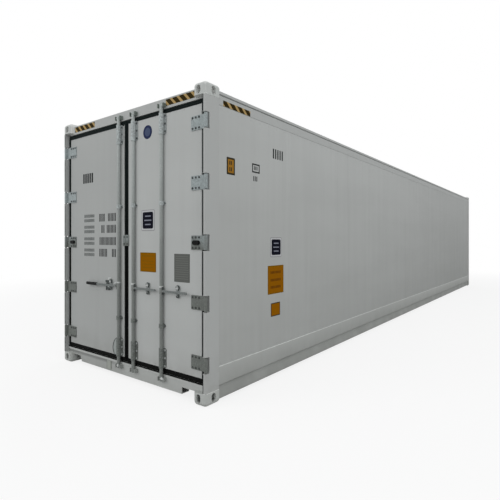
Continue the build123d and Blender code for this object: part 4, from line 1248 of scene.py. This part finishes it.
pad = [plate(door_end(sill_face), PAD_SPAN, PAD_LEVELS, PAD_RISES[0], PAD_CORNER)]
make("sill_pad_rim", pad, paint("pad_edge_dark", PAD_EDGE_DARK, dust=0.1), "container", "frame_paint")
span = (PAD_SPAN[0] + PAD_EDGES[0], PAD_SPAN[1] - PAD_EDGES[1])
pad = [plate(door_end(sill_face), span, PAD_LEVELS, PAD_RISES[1], PAD_CORNER, base=PAD_RISES[0])]
make("sill_pad", pad, paint("pad_paint", PAD_GREY, dust=0.1), "container", "frame_paint")


# Plates on the right door
# Thin enamelled plates and printed films, stuck or riveted to the sheet: a blue disc, a navy
# panel with a pale rim and plain bars, an orange panel with plain lines, and a grey plate
# with raised rows.
RIGHT_DOOR = ("right_door", "door_paint")
FILM = 0.0008
PRINT_RISE = 0.0003
DISC_BLUE = (38, 45, 72)
DISC_PALE = (66, 75, 99)
DISC_CENTRE = (0.357, 2.575)
DISC_RADIUS = 0.07
DISC_RIM = 0.0007
DISC_PALE_SHARE = 0.62
DISC_SIDES = 48
NAVY = (12, 13, 24)
NAVY_BAR = (116, 119, 130)
NAVY_MARGIN = (168, 169, 171)
NAVY_LINE = (126, 125, 128)
NAVY_BARS = ((0.70, 0.045), (0.50, 0.055), (0.30, 0.045))
NAVY_BAR_HALF = 0.006
NAVY_PLATE = ((0.258, 0.468), (1.576, 1.788))
PANEL_ORANGE = (127, 79, 0)
ORANGE_LINE = (108, 78, 6)
ORANGE_PLATE = ((0.238, 0.490), (1.160, 1.356))
ORANGE_RIM = 0.010
ORANGE_HEADING = ((0.262, 0.466), 1.322, 0.004)
ORANGE_LINES = (0.272, 0.456)
ORANGE_LINE_LEVELS = (1.270, 1.238, 1.206)
ORANGE_LINE_HALF = 0.003
DATA_GREY = (88, 90, 87)
DATA_LINE = (102, 104, 101)
DATA_PLATE = ((0.759, 0.972), (1.086, 1.352))
DATA_RISE = 0.0015
DATA_ROWS = (0.777, 0.954)
DATA_ROW_LEVELS = (1.115, 1.325, 0.021)
DATA_ROW_HEIGHT = 0.006
DATA_RIVETS = [(across, level) for across in (0.767, 0.964) for level in (1.094, 1.219, 1.344)]
DATA_RIVET_RADIUS = 0.004


def enamel(name, colour, roughness=0.5):
    """Flat colour of a sign plate, dulled by weather and faded a little in patches."""
    return moulded(name, colour, roughness, grain=0.00004, grain_scale=400.0, dust=0.01, shine=0.02)


def printed_line(face, across_pair, level, half, base):
    """Thin line of print on a plate."""
    return plate(face, across_pair, about(level, 2 * half), PRINT_RISE, 0.002, 0.0001, base)


# Layers of a navy panel, as how far each is drawn in, its finish and its corner
navy_layers = [(0, enamel("plate_line", NAVY_LINE), 0.016)]
navy_layers.append((0.006, enamel("plate_margin", NAVY_MARGIN), 0.012))
navy_layers.append((0.022, enamel("navy_enamel", NAVY), 0.018))
navy_bars = enamel("navy_bars", NAVY_BAR)


def navy_sign(face, across_pair, up_pair, where, name):
    """Dark panel with round corners on a pale plate with a thin line round it, and plain bars."""
    for layer, (inset, material, corner) in enumerate(navy_layers):
        spans = [(low + inset, high - inset) for low, high in (across_pair, up_pair)]
        make(f"{name}_{layer + 1}", [plate(face, *spans, FILM, corner, base=FILM * layer)], material, *where)
    middle, (low, high) = sum(across_pair) / 2, up_pair
    top = FILM * len(navy_layers)
    bars = []
    for share, half in NAVY_BARS:
        level = low + (high - low) * share
        bars.append(printed_line(face, about(middle, 2 * half), level, NAVY_BAR_HALF, top))
    make(name + "_bars", bars, navy_bars, *where)


def framed_sign(face, spans, line, finishes, where, name):
    """Plain coloured panel on a darker plate that shows round it as a line."""
    inner = [(low + line, high - line) for low, high in spans]
    make(name + "_rim", [plate(face, *spans, FILM, 0.006)], finishes[0], *where)
    make(name, [plate(face, *inner, FILM, base=FILM)], finishes[1], *where)


oranges = enamel("orange_rim", ORANGE_LINE), enamel("orange_enamel", PANEL_ORANGE)
data_metal = enamel("data_metal", DATA_GREY)
data_line = enamel("data_line", DATA_LINE)
door_face = door_end(leaf_face)
disc = [flat_disc(door_face, DISC_CENTRE, DISC_RADIUS, FILM, DISC_RIM, DISC_SIDES)]
make("blue_disc", disc, enamel("blue_enamel", DISC_BLUE), *RIGHT_DOOR)
pale_radius = DISC_RADIUS * DISC_PALE_SHARE
disc = [flat_disc(door_face, DISC_CENTRE, pale_radius, FILM / 2, DISC_RIM, DISC_SIDES, FILM)]
make("blue_disc_middle", disc, enamel("blue_middle", DISC_PALE), *RIGHT_DOOR)
navy_sign(door_face, *NAVY_PLATE, RIGHT_DOOR, "navy_plate")
framed_sign(door_face, ORANGE_PLATE, ORANGE_RIM, oranges, RIGHT_DOOR, "orange_plate")
door_lines = [printed_line(door_face, *ORANGE_HEADING, 2 * FILM)]
for level in ORANGE_LINE_LEVELS:
    door_lines.append(printed_line(door_face, ORANGE_LINES, level, ORANGE_LINE_HALF, 2 * FILM))
make("orange_plate_lines", door_lines, oranges[0], *RIGHT_DOOR)
make("data_plate", [plate(door_face, *DATA_PLATE, DATA_RISE, 0.006)], data_metal, *RIGHT_DOOR)
data_rows = [plate(door_face, DATA_ROWS, (level, level + DATA_ROW_HEIGHT), 0.0004, 0.001, 0.0002, DATA_RISE)
             for level in spaced(*DATA_ROW_LEVELS)]
make("data_plate_rows", data_rows, data_line, *RIGHT_DOOR)
data_face = door_end(leaf_face - DATA_RISE)
data_rivets = [rivet(data_face, *spot, DATA_RIVET_RADIUS) for spot in DATA_RIVETS]
make("data_plate_rivets", data_rivets, bolt_steel, *RIGHT_DOOR)


# Marks on the left door
# Film marks in rows of plain upright bars, tall groups at one end of a row and two low lines
# at the other, with one more tall row above them.
BAR_INK = (44, 46, 46)
FINE_BAR_INK = (70, 74, 73)
BAR_FILM = 0.0004
BAR_ROWS = (1.736, 1.607, 1.471, 1.340)
TALL_BAR = 0.088
# A spacing is the pitch of the bars and the share of it that a bar fills
TALL_SPACING = (0.026, 0.60)
TALL_GROUPS = (((-0.512, -0.394), (-0.340, -0.180)), ((-0.470, -0.400), (-0.363, -0.180)))
TALL_GROUPS += (((-0.505, -0.180),), ((-0.509, -0.348), (-0.263, -0.180)))
TOP_ROW = ((-0.850, -0.626), (2.150, 2.262), 0.046, 0.70)
LOW_BAR = 0.036
LOW_SPACING = (0.024, 0.62)
LOW_GROUP = (-0.822, -0.605)
LOW_SHIFT = 0.026


def upright_bars(face, across_pair, up_pair, pitch, fill):
    """Even row of short upright bars."""
    left, right = across_pair
    count = max(1, round((right - left) / pitch))
    step = (right - left) / count
    spans = [(left + step * index, left + step * (index + fill)) for index in range(count)]
    return [plate(face, span, up_pair, BAR_FILM, 0.002, BAR_FILM / 2) for span in spans]


bar_ink = enamel("bar_ink", BAR_INK, 0.55)
tall_bars = upright_bars(door_face, *TOP_ROW)
low_bars = []
for level, groups in zip(BAR_ROWS, TALL_GROUPS):
    for group in groups:
        tall_bars += upright_bars(door_face, group, about(level, TALL_BAR), *TALL_SPACING)
    for shift in (LOW_SHIFT, -LOW_SHIFT):
        low_bars += upright_bars(door_face, LOW_GROUP, about(level + shift, LOW_BAR), *LOW_SPACING)
on_door("left", "door_tall_bars", tall_bars, bar_ink, "door_paint")
on_door("left", "door_low_bars", low_bars, enamel("fine_bar_ink", FINE_BAR_INK, 0.55), "door_paint")


# Plates on the right side
# The same kinds of bare plates near the door end of the wall: a small amber one with a dark
# rim, an open square, a navy panel, and a tall orange panel over a small amber one.
RIGHT_WALL = ("container", "wall_paint")
RIM_DARK = (50, 46, 34)
ORANGE_BAR = (80, 45, 7)
PANEL_AMBER = (140, 100, 36)
AMBER_PLATE = ((0.286, 0.404), (2.100, 2.263))
AMBER_RIM = 0.018
AMBER_BARS = (0.322, 0.368)
AMBER_BAR_LEVELS = (2.152, 2.212)
AMBER_BAR = 0.038
AMBER_SPACING = (0.023, 0.6)
SIDE_NAVY = ((0.985, 1.200), (1.298, 1.512))
SIDE_ORANGE = ((0.938, 1.238), (0.898, 1.206))
SIDE_ORANGE_RIM = 0.012
SIDE_ORANGE_BARS = (0.990, 1.186)
SIDE_ORANGE_BAR_LEVELS = (0.972, 1.049, 1.132)
SIDE_ORANGE_BAR = 0.028
SIDE_ORANGE_SPACING = (0.024, 0.6)
LOW_AMBER = ((0.995, 1.170), (0.655, 0.800))
LOW_AMBER_RIM = 0.010
SQUARE = ((0.670, 0.795), (2.168, 2.261))
SQUARE_LINE = 0.015
SIDE_BARS = (((0.702, 0.768), (2.196, 2.236), 0.026), ((0.690, 0.766), (2.082, 2.134), 0.026))
SIDE_BARS += (((1.032, 1.244), (2.368, 2.474), 0.040),)
SIDE_BAR_FILL = 0.55

right_wall_y = outer_y("right_side_wall", -1)
side_face = facing((0, -1, 0), (-half_length, right_wall_y, 0))
plate_top = facing((0, -1, 0), (-half_length, right_wall_y - 2 * FILM, 0))
dark_rim = enamel("dark_rim", RIM_DARK)
ambers = dark_rim, enamel("amber_enamel", PANEL_AMBER)
framed_sign(side_face, AMBER_PLATE, AMBER_RIM, ambers, RIGHT_WALL, "amber_plate")
navy_sign(side_face, *SIDE_NAVY, RIGHT_WALL, "side_navy_plate")
framed_sign(side_face, SIDE_ORANGE, SIDE_ORANGE_RIM, oranges, RIGHT_WALL, "side_orange_plate")
framed_sign(side_face, LOW_AMBER, LOW_AMBER_RIM, (dark_rim, oranges[1]), RIGHT_WALL, "low_amber_plate")
orange_bars, amber_bars = [], []
for level in SIDE_ORANGE_BAR_LEVELS:
    levels = about(level, SIDE_ORANGE_BAR)
    orange_bars += upright_bars(plate_top, SIDE_ORANGE_BARS, levels, *SIDE_ORANGE_SPACING)
for level in AMBER_BAR_LEVELS:
    amber_bars += upright_bars(plate_top, AMBER_BARS, about(level, AMBER_BAR), *AMBER_SPACING)
make("side_orange_bars", orange_bars, enamel("orange_bars", ORANGE_BAR), *RIGHT_WALL)
make("amber_plate_bars", amber_bars, dark_rim, *RIGHT_WALL)
(left, right), (low, high) = SQUARE
square = [((left, right), (high - SQUARE_LINE, high)), ((left, right), (low, low + SQUARE_LINE))]
square += [((left, left + SQUARE_LINE), (low, high)), ((right - SQUARE_LINE, right), (low, high))]
side_bars = [plate(side_face, *line, BAR_FILM, 0.001, BAR_FILM / 2) for line in square]
for row in SIDE_BARS:
    side_bars += upright_bars(side_face, *row, SIDE_BAR_FILL)
make("side_bars", side_bars, bar_ink, *RIGHT_WALL)


# Hazard stripes
# Strips of slanting dark and yellow bars at the top corners, the common marking of a tall
# box. They are printed film, a little dulled by weather.
STRIPE_TAN = (156, 132, 88)
STRIPE_DARK = (54, 43, 13)
DARK_SHARE = 0.64
DARK_BARS = 4
HEADER_LEVELS = (2.784, 2.846)
HEADER_STRIPES = (("left", (-1.029, -0.605), 0.032), ("right", (0.636, 1.036), 0.026))
RAIL_SPAN = (0.235, 0.637)
RAIL_LEVELS = (2.722, 2.774)


def slanted_bars():
    """Mask of even bars that slant down to a viewer's right."""
    inputs = {"Across": (1, 0, 1), "Start": 0.0, "Period": 0.1, "Dark Share": 0.5}
    group, given, result = effect("slanted_bars", inputs, {"Mask": "Float"})
    along = {0: own_place(group), 1: given["Across"]}
    along = add(group, "ShaderNodeVectorMath", along, operation="DOT_PRODUCT").outputs["Value"]
    phase = calc("FRACT", calc("DIVIDE", minus(along, given["Start"]), given["Period"]))
    feed(result["Mask"], calc("LESS_THAN", phase, given["Dark Share"]))
    return group


SLANTED_BARS = slanted_bars()


def hazard_strip(name, face, across_pair, up_pair, across, margin):
    """Strip of printed film with slanting dark bars and a plain margin at its ends."""
    material = enamel(name + "_film", STRIPE_TAN, 0.45)
    left, right = across_pair
    period = (right - left - 2 * margin) / (DARK_BARS - 1 + DARK_SHARE)
    start = left + margin + sum(up_pair) / 2
    pattern = {"Across": across, "Start": start, "Period": period, "Dark Share": DARK_SHARE}
    pattern = placed(material.node_tree, SLANTED_BARS, pattern)
    overlaid(material, pattern["Mask"], STRIPE_DARK)
    make(name, [plate(face, across_pair, up_pair, FILM, 0.002)], material, "container", "frame_paint")


for end, header in ((-1, "door_header"), (1, "front_header")):
    low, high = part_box(header)
    face = facing((end, 0, 0), (low.x if end < 0 else high.x, 0, 0))
    for hand, span, margin in HEADER_STRIPES:
        hazard_strip(f"{header}_{hand}_stripes", face, span, HEADER_LEVELS, (0, end, 1), margin)
for side_name, side in SIDES:
    face = facing((0, side, 0), (0, outer_y(side_name + "_top_rail", side), 0))
    span = sorted(-side * (place - half_length) for place in RAIL_SPAN)
    hazard_strip(side_name + "_rail_stripes", face, span, RAIL_LEVELS, (-side, 0, 1), 0.0)


# Studio
# A wide pale floor and soft light from a plain sky, a broad lamp at the left in front of the
# doors and another along the side. The camera stands where the photograph was taken from.
FLOOR_RADIUS = 60.0
FLOOR_TONES = ((0.42, 0.42, 0.41, 1), (0.95, 0.95, 0.95, 1))
FLOOR_GLOW = (7.0, 14.0, 0.82, 1.0)
WHITE = (1, 1, 1, 1)
SKY_TINT = (0.97, 0.98, 0.985, 1)
SKY_LEVEL = 0.70
CAMERA_PLACE = (-8.6552, -3.7613, 1.4799)
CAMERA_YAW = 36.26
CAMERA_LENS = 29.27
CAMERA_SENSOR = 36.0
CAMERA_SHIFT = (-0.0332, -0.0194)
CAMERA_REACH = 200.0
DOOR_LAMP = {"place": (-19.0, 8.0, 9.0), "aim": (-6.0, 0.0, 1.3), "size": (8.0, 6.0), "power": 470.0}
SIDE_LAMP = {"place": (-7.0, -12.0, 7.5), "aim": (-5.0, -1.2, 1.4), "size": (8.0, 5.0), "power": 210.0}


def put_up(name, data):
    """Puts a lamp, camera or floor into the studio."""
    holder = bpy.data.objects.new(name, data)
    bpy.context.scene.collection.objects.link(holder)
    return holder


def seen_or_mirrored(tree):
    """Share that is 1 for what the camera, a mirror or glass sees, and 0 for light on the object."""
    path = add(tree, "ShaderNodeLightPath").outputs
    share = calc("MAXIMUM", path["Is Camera Ray"], path["Is Glossy Ray"])
    return calc("MAXIMUM", share, path["Is Transmission Ray"])


def mixed(share, first, second):
    """Mix of two shaders."""
    shaders = {0: share, 1: first.outputs[0], 2: second.outputs[0]}
    return add(share.id_data, "ShaderNodeMixShader", shaders).outputs[0]


def lamp(name, place, aim, size, power):
    """Broad soft lamp aimed at a point."""
    light = bpy.data.lights.new(name, "AREA")
    light.shape = "RECTANGLE"
    light.size, light.size_y = size
    light.energy = power
    holder = put_up(name, light)
    holder.location = place
    holder.rotation_euler = (Vector(aim) - Vector(place)).to_track_quat("-Z", "Y").to_euler()


lamp("door_lamp", **DOOR_LAMP)
lamp("side_lamp", **SIDE_LAMP)

world = bpy.data.worlds.new("studio_sky")
bpy.context.scene.world = world
world.use_nodes = True
tree = world.node_tree
sky = tree.nodes["Background"]
sky.inputs["Color"].default_value = SKY_TINT
sky.inputs["Strength"].default_value = SKY_LEVEL
white = add(tree, "ShaderNodeBackground", {"Color": WHITE, "Strength": 1.0})
feed(tree.nodes["World Output"].inputs["Surface"], mixed(seen_or_mirrored(tree), sky, white))

floor_mesh = bpy.data.meshes.new("studio_floor")
signs = ((-1, -1), (1, -1), (1, 1), (-1, 1))
corners = [(across * FLOOR_RADIUS, along * FLOOR_RADIUS, 0) for across, along in signs]
floor_mesh.from_pydata(corners, [], [(0, 1, 2, 3)])
put_up("studio_floor", floor_mesh)
floor_finish, plain_shader = finish("studio_floor")
tree = floor_finish.node_tree
tree.nodes.remove(plain_shader)
seen = seen_or_mirrored(tree)
matt = add(tree, "ShaderNodeBsdfDiffuse", {"Color": tint(seen, *FLOOR_TONES)})
glow = add(tree, "ShaderNodeEmission", {"Color": WHITE, "Strength": 1.0})
reach = add(tree, "ShaderNodeVectorMath", {0: own_place(tree)}, operation="LENGTH").outputs["Value"]
lift = times(seen, fade(reach, *FLOOR_GLOW))
feed(tree.nodes["Material Output"].inputs["Surface"], mixed(lift, matt, glow))
floor_mesh.materials.append(floor_finish)

camera_data = bpy.data.cameras.new("camera")
camera_data.lens = CAMERA_LENS
camera_data.sensor_width = CAMERA_SENSOR
camera_data.shift_x, camera_data.shift_y = CAMERA_SHIFT
camera_data.clip_end = CAMERA_REACH
camera = put_up("camera", camera_data)
camera.location = CAMERA_PLACE
camera.rotation_euler = (math.pi / 2, 0, math.radians(CAMERA_YAW - 90))
bpy.context.scene.camera = camera
bpy.context.scene.view_settings.view_transform = "Standard"
